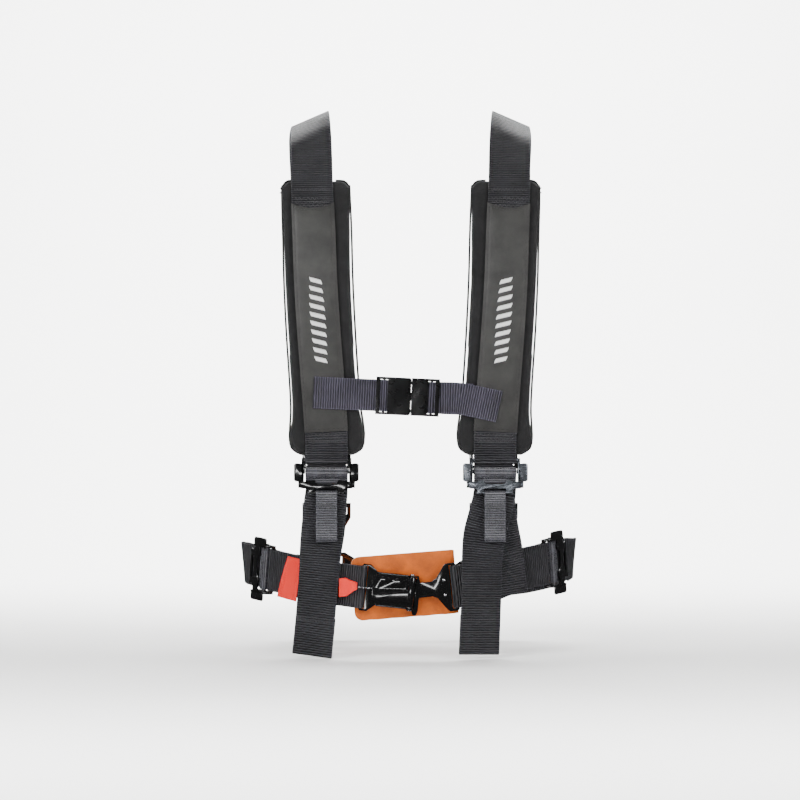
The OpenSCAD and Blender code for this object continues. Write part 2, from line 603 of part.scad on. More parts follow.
leather_t = 3;
module leather_pad() {
    r = 10;
    half = [leather_len / 2, leather_h / 2];
    color(tan) translate([-7.6, -126 + latch_loop_r + web_t / 2 + 0.7 - latch_t / 2, 5]) rotate([0, -4.5, 0])
        rotate([90, 0, 0]) translate([0, 0, -leather_t]) linear_extrude(leather_t) difference() {
            union() {
                translate([-half[0] + r, -half[1]]) square([leather_len - r, leather_h]);
                translate([-half[0], -half[1] + r]) square([leather_len, leather_h - 2 * r]);
                for (s = [-1, 1]) translate([-half[0] + r, s * (half[1] - r)]) circle(r = r, $fn = 64);
            }
        }
}

// Link axes: x along the link, z across it, -y out of it.
module at_link() {
    translate(link_at) rotate([0, -link_rise, 0]) children();
}

link_w = web_w + 7;
eye = [-33, -18.5]; // ends of the eye along the link
module link() {
    tip = 13;
    neck = 9;
    half = link_w / 2;
    color(black) at_link() plate(0, link_t) difference() {
        polygon([[eye[0] - 5, -tip + 3], [eye[0] - 2, -tip], [-16, -tip], [-12, -neck], [6, -neck], [12, -neck - 3],
            [22, -half + 3], [25, -half], [link_end - 2, -half], [link_end, -half + 2], [link_end, half - 2],
            [link_end - 2, half], [25, half], [22, half - 3], [12, neck + 3], [6, neck], [-12, neck], [-16, tip],
            [eye[0] - 2, tip], [eye[0] - 5, tip - 3]]);
        translate([eye[0], -8]) square([eye[1] - eye[0], 16]);
        translate([link_bar[0] - link_loop_r - web_t / 2 - 0.8, -web_w / 2 - 0.6])
            square([link_loop_r + web_t / 2 + 0.8 - 2.75, web_w + 1.2]);
    }
}

module link_rivets() {
    color("silver") at_link() for (z = [-9, 9]) translate([21, -link_t, z]) {
        rotate([90, 0, 0]) cylinder(r = 2, h = 1.4, $fn = round_fn);
    }
}

link_bar = [link_end - 2.75, link_t / 2];
link_loop_r = norm([5.5, link_t]) / 2 + 0.25 + web_t / 2;
module link_webbing() {
    route = concat(
        smooth([[link_end + 12, link_bar[1] - lay / 2 - 1.2], [link_end + 6, link_bar[1] - lay / 2 - 1.8]], 2),
        [for (q = arc(0, 0, link_loop_r, 260, 100, 10)) [link_bar[0] + q[0], link_bar[1] + q[1]]],
        smooth([[link_end + 6, link_bar[1] + lay / 2 - 0.2], [link_end + 12, link_bar[1] + lay / 2 - 1.2]], 2));
    color(webbing) at_link() strap([for (q = route) [q[0], -q[1], 0, 0, 0, 1]]);
}

// ---- chest strap ----

module at_chest() {
    translate(chest_at) rotate([0, chest_slope, 0]) children();
}

// Chest webbing lies in [x, n] of the buckle's own axes.
function chest_path(points, steps = 2) = [for (q = smooth(points, steps)) [q[0], -q[1], 0, 0, 0, 1]];
chest_sewn = 71; // outer end of the layer that is sewn to a pad
chest_open = ladder_x + 4 + plug_travel + 1; // inner end of the right sewn layer

module chest_strap_left() {
    color(webbing) at_chest() strap(chest_path(
        [[-chest_sewn, -1.6], [-60, -1.6], [-48, -2.2], [-ladder_x - 1, -loop_r]]), chest_w, thin_t);
}
module chest_tail_left() {
    color(webbing) at_chest() strap(concat(
        [for (q = arc(-ladder_x, 0, loop_r, 270, 450, 10)) [q[0], -q[1], 0, 0, 0, 1]],
        chest_path([[-ladder_x - 5, loop_r], [-60, 2.2], [-80, 2.6], [-113, 2.8]])), chest_w, thin_t);
}
module chest_strap_right() {
    color(webbing) at_chest() strap(chest_path([[chest_open, -1.8], [chest_open + 6, -1.6], [78, -1.6]]),
        chest_w, thin_t);
}
module chest_tail_right() {
    color(webbing) at_chest() strap(concat(
        [for (q = arc(ladder_x, 0, loop_r, 270, 90, 10)) [q[0], -q[1], 0, 0, 0, 1]],
        [for (q = smooth([[ladder_x + 5, loop_r, 0], [60, 2.2, 0.6], [86, 2.6, -3], [110, 2.8, -7]], 2))
            [q[0], -q[1], q[2], 0.07, 0, 1]]), chest_w, thin_t);
}

buckle_h = chest_w + 7;
buckle_t = 10;
mouth_x = 4;
arm_root = 14;
buckle_end = 38; // outer edge of each half
// What holds the webbing of each half: side walls, the bar it goes round, and an outer bar in front of it.
module ladder(s) {
    wall = (buckle_h - chest_w) / 2 - 0.6;
    for (z = [-buckle_h / 2, buckle_h / 2 - wall]) translate([s > 0 ? 20 : -buckle_end, -buckle_t / 2, z])
        cube([buckle_end - 20, buckle_t / 2 + 1.8, wall]);
    plate(loop_r + thin_t / 2 + 0.3, buckle_t / 2)
        translate([s > 0 ? 33 : -buckle_end, -buckle_h / 2]) square([buckle_end - 33, buckle_h]);
    translate([s * ladder_x, 0, 0])
        cylinder(r = loop_r - thin_t / 2 - 0.2, h = buckle_h - 3, center = true, $fn = round_fn);
}
module rounded(w, h, r) {
    translate([0, r]) square([w, h - 2 * r]);
    translate([r, 0]) square([w - 2 * r, h]);
    for (x = [r, w - r]) for (y = [r, h - r]) translate([x, y]) circle(r = r, $fn = 40);
}

module chest_buckle_socket() {
    inner = [buckle_h / 2 - 3, buckle_t / 2 - 1.8];
    color(black) at_chest() union() {
        ladder(-1);
        difference() {
            plate(-buckle_t / 2, buckle_t / 2) translate([-24, -buckle_h / 2])
                rounded(mouth_x + 24, buckle_h, 3);
            translate([-20, -inner[1], -inner[0]]) cube([40, 2 * inner[1], 2 * inner[0]]);
            // windows for the arms' barbs
            translate([-12.4, -inner[1], -buckle_h]) cube([13.4, 2 * inner[1], 2 * buckle_h]);
        }
    }
}

module chest_buckle_plug() {
    color(black) at_chest() union() {
        ladder(1);
        // base with a pocket for the root of each arm, and the middle guide
        difference() {
            translate([mouth_x + 0.4, -buckle_t / 2, -buckle_h / 2]) cube([19.6, buckle_t, buckle_h]);
            for (z = [-19.2, 12.4]) translate([mouth_x - 1, -2.8, z]) cube([arm_root + 1.6 - mouth_x, 5.6, 6.8]);
        }
        translate([-10, -2, -5]) cube([mouth_x + 15, 4, 10]);
    }
}

// An arm of the plug, with its barb in the socket's window.
module arm_solid() {
    color(black) plate(-2.4, 2.4) polygon([[arm_root - 0.3, 15], [arm_root - 0.3, 18.6], [1, 18.8], [0.6, 22],
        [-5, 22.2], [-10, 19], [-11, 16.4], [-9.6, 15]]);
}
module buckle_arm_upper() at_chest() arm_solid();
module buckle_arm_lower() at_chest() mirror([0, 0, 1]) arm_solid();

shoulder_strap(LEFT);  // shoulder_strap_left
shoulder_strap(RIGHT);  // shoulder_strap_right
shoulder_pad(LEFT);  // shoulder_pad_left
shoulder_pad(RIGHT);  // shoulder_pad_right
pad_cover(LEFT);  // pad_cover_left
pad_cover(RIGHT);  // pad_cover_right
lower_strap(LEFT);  // lower_strap_left
lower_strap(RIGHT);  // lower_strap_right
tail(LEFT);  // tail_left
tail(RIGHT);  // tail_right
rear_slide(LEFT);  // rear_slide_left
rear_slide(RIGHT);  // rear_slide_right
adjuster_frame(LEFT);  // adjuster_frame_left
adjuster_frame(RIGHT);  // adjuster_frame_right
adjuster_bar(LEFT);  // adjuster_bar_left
adjuster_bar(RIGHT);  // adjuster_bar_right
bar_webbing(LEFT);  // bar_webbing_left
bar_webbing(RIGHT);  // bar_webbing_right
pull_tab(LEFT);  // pull_tab_left
pull_tab(RIGHT);  // pull_tab_right
shoulder_anchor(LEFT);  // shoulder_anchor_left
shoulder_anchor(RIGHT);  // shoulder_anchor_right
lap_strap_left();
lap_strap_right();
lap_frame(LEFT);  // lap_frame_left
lap_frame(RIGHT);  // lap_frame_right
lap_bar(LEFT);  // lap_bar_left
lap_bar(RIGHT);  // lap_bar_right
lap_bar_webbing(LEFT);  // lap_bar_webbing_left
lap_bar_webbing(RIGHT);  // lap_bar_webbing_right
lap_rear_strap(LEFT);  // lap_rear_strap_left
lap_rear_strap(RIGHT);  // lap_rear_strap_right
lap_tail(LEFT);  // lap_tail_left
lap_tail(RIGHT);  // lap_tail_right
lap_anchor(LEFT);  // lap_anchor_left
lap_anchor(RIGHT);  // lap_anchor_right
latch_plate();
latch_lever();
lever_pin();
lever_spring();
lever_wire();
red_pull_tab();
red_patch();
leather_pad();
link();
link_rivets();
link_webbing();
chest_strap_left();
chest_strap_right();
chest_tail_left();
chest_tail_right();
chest_buckle_socket();
chest_buckle_plug();
buckle_arm_upper();
buckle_arm_lower();
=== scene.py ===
"""Looks of a four-point racing harness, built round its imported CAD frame."""

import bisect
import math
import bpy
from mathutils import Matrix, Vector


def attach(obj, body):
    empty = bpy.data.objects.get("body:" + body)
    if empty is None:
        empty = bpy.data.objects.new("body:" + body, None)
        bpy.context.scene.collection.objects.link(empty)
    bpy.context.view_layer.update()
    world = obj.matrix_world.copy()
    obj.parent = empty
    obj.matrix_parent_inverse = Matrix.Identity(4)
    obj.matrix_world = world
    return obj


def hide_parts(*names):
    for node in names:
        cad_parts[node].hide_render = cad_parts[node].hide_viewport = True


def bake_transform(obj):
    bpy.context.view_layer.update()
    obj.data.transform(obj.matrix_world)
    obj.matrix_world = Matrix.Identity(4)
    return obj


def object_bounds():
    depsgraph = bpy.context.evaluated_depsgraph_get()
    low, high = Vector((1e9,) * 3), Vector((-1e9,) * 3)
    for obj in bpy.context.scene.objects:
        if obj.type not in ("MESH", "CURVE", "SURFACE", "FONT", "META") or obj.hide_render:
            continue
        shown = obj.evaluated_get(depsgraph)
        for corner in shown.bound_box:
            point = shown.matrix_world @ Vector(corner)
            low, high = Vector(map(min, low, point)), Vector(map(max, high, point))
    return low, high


bl_info = {
    "name": "Racing harness looks",
    "version": (1, 0, 0),
    "blender": (4, 5, 0),
    "location": "3D View > Sidebar > Harness",
    "description": "Webbing, pads, stitching and hardware of a four-point racing harness",
    "category": "Object",
}

import bmesh
import bpy
from mathutils import Matrix, Vector, noise

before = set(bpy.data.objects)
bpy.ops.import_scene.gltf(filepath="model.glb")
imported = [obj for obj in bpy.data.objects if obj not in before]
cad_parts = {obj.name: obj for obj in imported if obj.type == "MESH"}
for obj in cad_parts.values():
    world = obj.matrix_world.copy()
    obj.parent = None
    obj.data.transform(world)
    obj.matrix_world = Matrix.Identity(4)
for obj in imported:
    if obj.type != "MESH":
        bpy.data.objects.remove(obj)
cad_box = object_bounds()

MM = 0.001
SIDES = {"left": 0, "right": 1}

# ---- sizes in millimetres, as in the CAD ----
WEB_W, WEB_T, CHEST_W, THIN_T, TAB_W = 50.8, 1.4, 38.0, 1.2, 25.4
PAD_W, PAD_T, COVER_W, COVER_T = 83.0, 13.0, 52.0, 1.5
FRAME_T, BAR_R, FLANGE_H, INNER_A = 2.5, 3.0, 11.0, 27.2
LAY = WEB_T + 0.2
WRAP_R = BAR_R + 0.2 + WEB_T / 2
ADJUSTER = (101.0, -133.0, 134.5)
FIXED_B, SLIDE_B, STRAP_B, LEG_B, TAB_BAR_B = 21.0, 8.0, -8.0, -5.5, -18.0
LAP_YAW, LAP_PITCH = 46.0, 6.0
LAP_MID = ((184.0, -55.0, 22.0), (179.0, -55.0, 30.0))
REAR_X, ANCHOR_Y, ANCHOR_Z, SLIDE_Z = 108.0, 104.0, 92.0, 160.0
PAD_BACK = WEB_T / 2 + LAY + 0.2
FINE = 12  # steps from one point of a belt's curve to the next
RED_RIB = 1.6
TOP_TACK, PAD_TACKS, LOW_TACKS = 483, (472, 467.5, 463), (186, 182, 178)  # heights of the sewn rows
MOTIF_TOP, MOTIF_STEP, MOTIF_BARS, MOTIF_THREADS = 374, 10.6, 10, 10
LEATHER_HALF_W, LEATHER_HALF_H, LEATHER_T, LEATHER_R = 62.5, 38.5, 3.0, 10.0
FELT_VOXEL, FELT_PRESSURE, FELT_STEPS, FELT_SLAB = 3.6, 4.0, 20, 3.2
PAD_LEAN, BINDING = 5.0, (3.4, 1.3)
HELD_HALF = 26.5  # half the width of a pad's front that the webbing holds flat


# ---- colour and nodes ----
def colour(code):
    """An sRGB hex code as linear red, green, blue and alpha."""
    values = [int(code[i : i + 2], 16) / 255 for i in (1, 3, 5)]
    return tuple(v / 12.92 if v <= 0.04045 else ((v + 0.055) / 1.055) ** 2.4 for v in values) + (1.0,)


def add(tree, kind, links=None, give=0, **settings):
    """Adds a node with its settings and its inputs' values or links. Gives back one of its outputs."""
    made = tree.nodes.new("ShaderNode" + kind)
    for name, value in settings.items():
        setattr(made, name, value)
    for name, value in (links or {}).items():
        if isinstance(value, bpy.types.NodeSocket):
            tree.links.new(value, made.inputs[name])
        else:
            made.inputs[name].default_value = value
    return made.outputs[give]


def finish_of(name, **shader):
    """A new material with its shader's plain sockets set. Returns it, its node tree and its shader's inputs."""
    made = bpy.data.materials.new(name)
    made.use_nodes = True
    inputs = made.node_tree.nodes["Principled BSDF"].inputs
    for key, value in shader.items():
        inputs[key.replace("_", " ")].default_value = value
    return made, made.node_tree, inputs


def shade(tint, share):
    """A colour with its brightness multiplied."""
    return tuple(min(1.0, v * share) for v in tuple(tint)[:3]) + (1.0,)


def woven(name, tint, rib, yarn, depth, width, rough, sheen, painted_shade_ratio):
    """Webbing, woven with ribs across it. Each rib is a bundle of weft under the warp's fine yarns, and shows the
    yarns as beads. Its colour has a painted highlight along each crest and on the beads, and painted shade in
    between."""
    made, tree, inputs = finish_of(name, Sheen_Weight=sheen, Sheen_Roughness=0.4, Specular_IOR_Level=0.5)
    flat = add(tree, "UVMap", uv_map="flat")
    across = add(tree, "SeparateXYZ", {0: flat})
    along = add(tree, "SeparateXYZ", {0: flat}, 1)
    where = add(tree, "TexCoord", give="Object")
    # the ribs wander a little, as real picks do
    drift = add(tree, "TexNoise", {"Vector": where, "Scale": 1 / (14 * MM)})
    drift = add(tree, "Math", {0: drift, 1: 0.3}, operation="MULTIPLY")
    count = add(tree, "Math", {0: along, 1: 1 / rib, 2: drift}, operation="MULTIPLY_ADD")
    wave = add(tree, "Math", {0: count, 1: 0.5}, operation="PINGPONG")
    crest = add(tree, "MapRange", {"Value": wave, "From Max": 0.5}, interpolation_type="SMOOTHSTEP")
    # each rib's beads are half a yarn along from the last rib's
    row = add(tree, "Math", {0: count}, operation="FLOOR")
    row = add(tree, "Math", {0: row, 1: 0.5}, operation="MULTIPLY")
    thread = add(tree, "Math", {0: across, 1: 1 / (yarn * MM), 2: row}, operation="MULTIPLY_ADD")
    wave = add(tree, "Math", {0: thread, 1: 0.5}, operation="PINGPONG")
    bead = add(tree, "MapRange", {"Value": wave, "From Max": 0.5}, interpolation_type="SMOOTHSTEP")
    fuzz = add(tree, "TexNoise", {"Vector": where, "Scale": 1 / (0.8 * MM), "Detail": 3.0})
    height = add(tree, "Math", {0: fuzz, 1: 0.2, 2: crest}, operation="MULTIPLY_ADD")
    height = add(tree, "Math", {0: bead, 1: 0.3, 2: height}, operation="MULTIPLY_ADD")
    bump = add(tree, "Bump", {"Height": height, "Distance": depth * MM})
    tree.links.new(bump, inputs["Normal"])
    # the crests carry a painted highlight, palest between the beads' gaps, and the grooves painted shade; wear is
    # cloudy, and the selvedge is a little paler
    tone = add(tree, "MapRange", {"Value": bead, "To Min": 0.5})
    tone = add(tree, "Math", {0: tone, 1: crest}, operation="MULTIPLY")
    cloud = add(tree, "TexNoise", {"Vector": where, "Scale": 1 / (30 * MM), "Detail": 3.0})
    cloud = add(tree, "MapRange", {"Value": cloud, "To Min": -0.3, "To Max": 0.3}, clamp=False)
    side = add(tree, "Math", {0: across}, operation="ABSOLUTE")
    edge = {"Value": side, "From Min": (width / 2 - 1.8) * MM, "From Max": (width / 2 - 1.2) * MM, "To Max": 0.2}
    edge = add(tree, "MapRange", edge)
    tone = add(tree, "Math", {0: tone, 1: cloud}, operation="ADD")
    tone = add(tree, "Math", {0: tone, 1: edge}, operation="ADD", use_clamp=True)
    # the grooves' painted shade is the crest colour divided by the last figure given
    shades = {"Factor": tone, 6: shade(tint, 1 / painted_shade_ratio), 7: shade(tint, 1.0)}
    tree.links.new(add(tree, "Mix", shades, 2, data_type="RGBA"), inputs["Base Color"])
    sheer = {"Value": fuzz, "From Min": 0.3, "From Max": 0.7, "To Min": rough - 0.08, "To Max": rough + 0.1}
    tree.links.new(add(tree, "MapRange", sheer), inputs["Roughness"])
    return made


def spun_thread(name, tint, rough=0.45):
    """Bonded polyester thread, twisted from three plies, with a soft shine."""
    made, tree, inputs = finish_of(name, Sheen_Weight=0.2, Roughness=rough)
    where = add(tree, "TexCoord", give="Object")
    ply = add(tree, "TexNoise", {"Vector": where, "Scale": 1 / (0.5 * MM)})
    shades = {"Factor": ply, 6: shade(tint, 0.6), 7: shade(tint, 1.0)}
    tree.links.new(add(tree, "Mix", shades, 2, data_type="RGBA"), inputs["Base Color"])
    tree.links.new(add(tree, "Bump", {"Height": ply, "Distance": 0.1 * MM}), inputs["Normal"])
    return made


def brushed_felt(tint):
    """Polyester knit over foam: soft, matt, with a fine mesh and a faint bloom at grazing angles."""
    made, tree, inputs = finish_of(
        "knitted pad fabric", Roughness=0.95, Sheen_Weight=0.22, Sheen_Roughness=0.5, Specular_IOR_Level=0.2
    )
    where = add(tree, "TexCoord", give="Object")
    mesh = {"Vector": where, "Scale": 1 / (1.3 * MM), "Randomness": 0.6}
    cells = add(tree, "TexVoronoi", mesh, "Distance")
    nap = add(tree, "TexNoise", {"Vector": where, "Scale": 1 / (0.7 * MM), "Detail": 3.0})
    height = add(tree, "Math", {0: cells, 1: 0.7, 2: nap}, operation="MULTIPLY_ADD")
    tree.links.new(add(tree, "Bump", {"Height": height, "Distance": 0.3 * MM}), inputs["Normal"])
    patch = add(tree, "TexNoise", {"Vector": where, "Scale": 1 / (22 * MM), "Detail": 3.0})
    tone = add(tree, "Math", {0: nap, 1: patch}, operation="MULTIPLY")
    shades = {"Factor": tone, 6: shade(tint, 0.45), 7: shade(tint, 2.4)}
    tree.links.new(add(tree, "Mix", shades, 2, data_type="RGBA"), inputs["Base Color"])
    return made


def grained_vinyl(tint):
    """Leatherette: embossed with a pebble grain, satin, and paler and shinier where it is rubbed."""
    made, tree, inputs = finish_of(
        "embossed leatherette", Specular_IOR_Level=0.55, Coat_Weight=0.12, Coat_Roughness=0.42
    )
    where = add(tree, "TexCoord", give="Object")
    emboss = {"Vector": where, "Scale": 1 / (1.1 * MM)}
    grain = add(tree, "TexVoronoi", emboss, "Distance", feature="DISTANCE_TO_EDGE")
    pebble = add(tree, "MapRange", {"Value": grain, "From Max": 0.25})
    fine = add(tree, "TexNoise", {"Vector": where, "Scale": 1 / (0.6 * MM), "Detail": 3.0})
    height = add(tree, "Math", {0: fine, 1: 0.35, 2: pebble}, operation="MULTIPLY_ADD")
    tree.links.new(add(tree, "Bump", {"Height": height, "Distance": 0.11 * MM}), inputs["Normal"])
    rub = add(tree, "TexNoise", {"Vector": where, "Scale": 1 / (26 * MM), "Detail": 4.0, "Roughness": 0.6})
    worn = add(tree, "MapRange", {"Value": rub, "From Min": 0.3, "From Max": 0.75, "To Max": 0.75})
    tone = add(tree, "Math", {0: pebble, 1: 0.25, 2: worn}, operation="MULTIPLY_ADD")
    shades = {"Factor": tone, 6: shade(tint, 0.45), 7: shade(tint, 1.5)}
    tree.links.new(add(tree, "Mix", shades, 2, data_type="RGBA"), inputs["Base Color"])
    sheer = {"Value": rub, "From Min": 0.3, "From Max": 0.7, "To Min": 0.5, "To Max": 0.36}
    tree.links.new(add(tree, "MapRange", sheer), inputs["Roughness"])
    return made


def tanned_leather(tint):
    """Drum-dyed leather: a fine hair-cell grain, cloudy dye, and a waxed shine."""
    made, tree, inputs = finish_of("tan leather", Specular_IOR_Level=0.25, Coat_Weight=0.06, Coat_Roughness=0.35)
    where = add(tree, "TexCoord", give="Object")
    hair = {"Vector": where, "Scale": 1 / (1.4 * MM)}
    cells = add(tree, "TexVoronoi", hair, "Distance", feature="DISTANCE_TO_EDGE")
    grain = add(tree, "MapRange", {"Value": cells, "From Max": 0.2})
    cloud = add(tree, "TexNoise", {"Vector": where, "Scale": 1 / (18 * MM), "Detail": 5.0, "Roughness": 0.6})
    dye = add(tree, "MapRange", {"Value": cloud, "From Min": 0.3, "From Max": 0.7, "To Max": 0.8})
    tone = add(tree, "Math", {0: grain, 1: 0.2, 2: dye}, operation="MULTIPLY_ADD")
    shades = {"Factor": tone, 6: shade(tint, 0.66), 7: shade(tint, 1.3)}
    tree.links.new(add(tree, "Mix", shades, 2, data_type="RGBA"), inputs["Base Color"])
    fine = add(tree, "TexNoise", {"Vector": where, "Scale": 1 / (0.7 * MM), "Detail": 3.0})
    height = add(tree, "Math", {0: fine, 1: 0.4, 2: grain}, operation="MULTIPLY_ADD")
    tree.links.new(add(tree, "Bump", {"Height": height, "Distance": 0.1 * MM}), inputs["Normal"])
    sheer = {"Value": cloud, "From Min": 0.3, "From Max": 0.7, "To Min": 0.42, "To Max": 0.58}
    tree.links.new(add(tree, "MapRange", sheer), inputs["Roughness"])
    return made


def raw_leather(tint):
    """The leather's cut edge: undyed fibres, pale and rough."""
    made, tree, inputs = finish_of("cut leather edge", Roughness=0.9)
    where = add(tree, "TexCoord", give="Object")
    fibre = add(tree, "TexNoise", {"Vector": where, "Scale": 1 / (0.8 * MM), "Detail": 4.0, "Roughness": 0.7})
    shades = {"Factor": fibre, 6: shade(tint, 0.6), 7: shade(tint, 1.25)}
    tree.links.new(add(tree, "Mix", shades, 2, data_type="RGBA"), inputs["Base Color"])
    tree.links.new(add(tree, "Bump", {"Height": fibre, "Distance": 0.4 * MM}), inputs["Normal"])
    return made


def gloss_enamel(name, tint, rough, peel, metal=0.0, coat=1.0):
    """Stoved enamel or plating on pressed steel: deep gloss, a faint orange peel, and fine rubbing marks."""
    made, tree, inputs = finish_of(name, Metallic=metal, Coat_Weight=coat, Coat_Roughness=0.06)
    where = add(tree, "TexCoord", give="Object")
    skin = add(tree, "TexNoise", {"Vector": where, "Scale": 1 / (2.4 * MM)})
    tree.links.new(add(tree, "Bump", {"Height": skin, "Distance": peel * MM}), inputs["Normal"])
    long = add(tree, "Mapping", {0: where, "Scale": (1.0, 1.0, 5.0)})
    rub = add(tree, "TexNoise", {"Vector": long, "Scale": 1 / (9 * MM), "Detail": 6.0, "Roughness": 0.7})
    sheer = {"Value": rub, "From Min": 0.45, "From Max": 0.75, "To Min": rough, "To Max": rough + 0.16}
    tree.links.new(add(tree, "MapRange", sheer), inputs["Roughness"])
    worn = add(tree, "MapRange", {"Value": rub, "From Min": 0.55, "From Max": 0.8})
    shades = {"Factor": worn, 6: shade(tint, 1.0), 7: shade(tint, 1.9)}
    tree.links.new(add(tree, "Mix", shades, 2, data_type="RGBA"), inputs["Base Color"])
    return made


def bright_metal(name, tint, rough):
    """Plated steel: bright, slightly clouded, with fine drawing marks."""
    made, tree, inputs = finish_of(name, Metallic=1.0)
    where = add(tree, "TexCoord", give="Object")
    long = add(tree, "Mapping", {0: where, "Scale": (6.0, 1.0, 1.0)})
    marks = add(tree, "TexNoise", {"Vector": long, "Scale": 1 / (7 * MM), "Detail": 4.0})
    cloud = add(tree, "TexNoise", {"Vector": where, "Scale": 1 / (5 * MM), "Detail": 3.0})
    shades = {"Factor": cloud, 6: shade(tint, 0.7), 7: shade(tint, 1.0)}
    tree.links.new(add(tree, "Mix", shades, 2, data_type="RGBA"), inputs["Base Color"])
    sheer = {"Value": marks, "From Min": 0.3, "From Max": 0.7, "To Min": rough - 0.06, "To Max": rough + 0.1}
    tree.links.new(add(tree, "MapRange", sheer), inputs["Roughness"])
    tree.links.new(add(tree, "Bump", {"Height": marks, "Distance": 0.02 * MM}), inputs["Normal"])
    return made


def moulded_plastic(tint):
    """Acetal: injection moulded, with a fine spark-eroded skin."""
    made, tree, inputs = finish_of("moulded acetal", Specular_IOR_Level=0.3)
    where = add(tree, "TexCoord", give="Object")
    skin = add(tree, "TexNoise", {"Vector": where, "Scale": 1 / (0.6 * MM), "Detail": 3.0, "Roughness": 0.6})
    tree.links.new(add(tree, "Bump", {"Height": skin, "Distance": 0.04 * MM}), inputs["Normal"])
    flow = add(tree, "TexNoise", {"Vector": where, "Scale": 1 / (12 * MM), "Detail": 3.0})
    shades = {"Factor": flow, 6: shade(tint, 0.7), 7: shade(tint, 1.6)}
    tree.links.new(add(tree, "Mix", shades, 2, data_type="RGBA"), inputs["Base Color"])
    sheer = {"Value": flow, "From Min": 0.3, "From Max": 0.7, "To Min": 0.24, "To Max": 0.36}
    tree.links.new(add(tree, "MapRange", sheer), inputs["Roughness"])
    return made


def painted_floor(tint):
    """Matt pale studio paint, with the slightest mottle."""
    made, tree, inputs = finish_of("matt studio paint", Roughness=0.85, Specular_IOR_Level=0.2)
    where = add(tree, "TexCoord", give="Object")
    mottle = add(tree, "TexNoise", {"Vector": where, "Scale": 1 / (180 * MM), "Detail": 4.0})
    shades = {"Factor": mottle, 6: shade(tint, 0.98), 7: shade(tint, 1.0)}
    tree.links.new(add(tree, "Mix", shades, 2, data_type="RGBA"), inputs["Base Color"])
    return made


FINISHES = {}


def finish(name):
    """Each finish is made once, when a piece first asks for it."""
    look = bpy.context.scene.harness_look
    makers = {
        # each webbing's last figure is how much darker the painted shade in its grooves is than the painted highlight
        # on its crests
        "webbing": lambda: woven(
            "black nylon webbing", look.webbing, look.rib, 1.25, 1.0, WEB_W, rough=0.38, sheen=0.0, painted_shade_ratio=12
        ),
        # the tab's colour is the webbing's made 1.9 times paler: a painted sheen for its gloss
        "tab": lambda: woven(
            "glossy tab webbing with painted sheen", shade(look.webbing, 1.9), look.rib, 1.1, 0.6, TAB_W,
            rough=0.26, sheen=0.0, painted_shade_ratio=4,
        ),
        "chest": lambda: woven(
            "ribbed chest webbing", look.chest_webbing, look.chest_rib, 1.3, 1.0, CHEST_W,
            rough=0.4, sheen=0.0, painted_shade_ratio=14,
        ),
        "red": lambda: woven(
            "red nylon webbing", look.red, RED_RIB * MM, 1.1, 0.3, 80, rough=0.6, sheen=0.0, painted_shade_ratio=1.35
        ),
        # the black thread's grey carries a painted sheen
        "thread": lambda: spun_thread("black thread", look.thread_colour),
        "dark thread": lambda: spun_thread("dark cover thread", shade(look.thread_colour, 0.12)),
        "red thread": lambda: spun_thread("red thread", look.red),
        "white thread": lambda: spun_thread("off-white satin thread", look.motif, 0.35),
        "felt": lambda: brushed_felt(look.pad),
        "vinyl": lambda: grained_vinyl(look.cover),
        "leather": lambda: tanned_leather(look.leather),
        "raw leather": lambda: raw_leather(look.cut_edge),
        "enamel": lambda: gloss_enamel("stoved black enamel", look.enamel, 0.1, 0.012),
        "black chrome": lambda: gloss_enamel("black chrome plate", look.chrome, 0.26, 0.01, 1.0, 0.3),
        "knurled": lambda: bright_metal("blackened knurled steel", shade(look.steel, 0.17), 0.32),
        "steel": lambda: bright_metal("zinc-plated steel", look.steel, 0.22),
        "plastic": lambda: moulded_plastic(look.plastic),
        "floor": lambda: painted_floor(look.backdrop),
    }
    if name not in FINISHES:
        FINISHES[name] = makers[name]()
    return FINISHES[name]


# ---- curves ----
def smooth(points, steps):
    """A smooth curve through the points, with so many steps from each to the next."""
    made, last = [], len(points) - 1
    for i in range(last):
        a, b, c, d = points[max(i - 1, 0)], points[i], points[i + 1], points[min(i + 2, last)]
        for k in range(steps):
            t = k / steps
            made.append(
                tuple(
                    0.5 * (2 * q + (r - p) * t + (2 * p - 5 * q + 4 * r - s) * t * t + (3 * q - p - 3 * r + s) * t**3)
                    for p, q, r, s in zip(a, b, c, d)
                )
            )
    return made + [tuple(points[last])]


def arc(across, up, radius, start, stop, steps):
    turns = [math.radians(start + (stop - start) * k / steps) for k in range(steps + 1)]
    return [(across + radius * math.cos(a), up + radius * math.sin(a)) for a in turns]


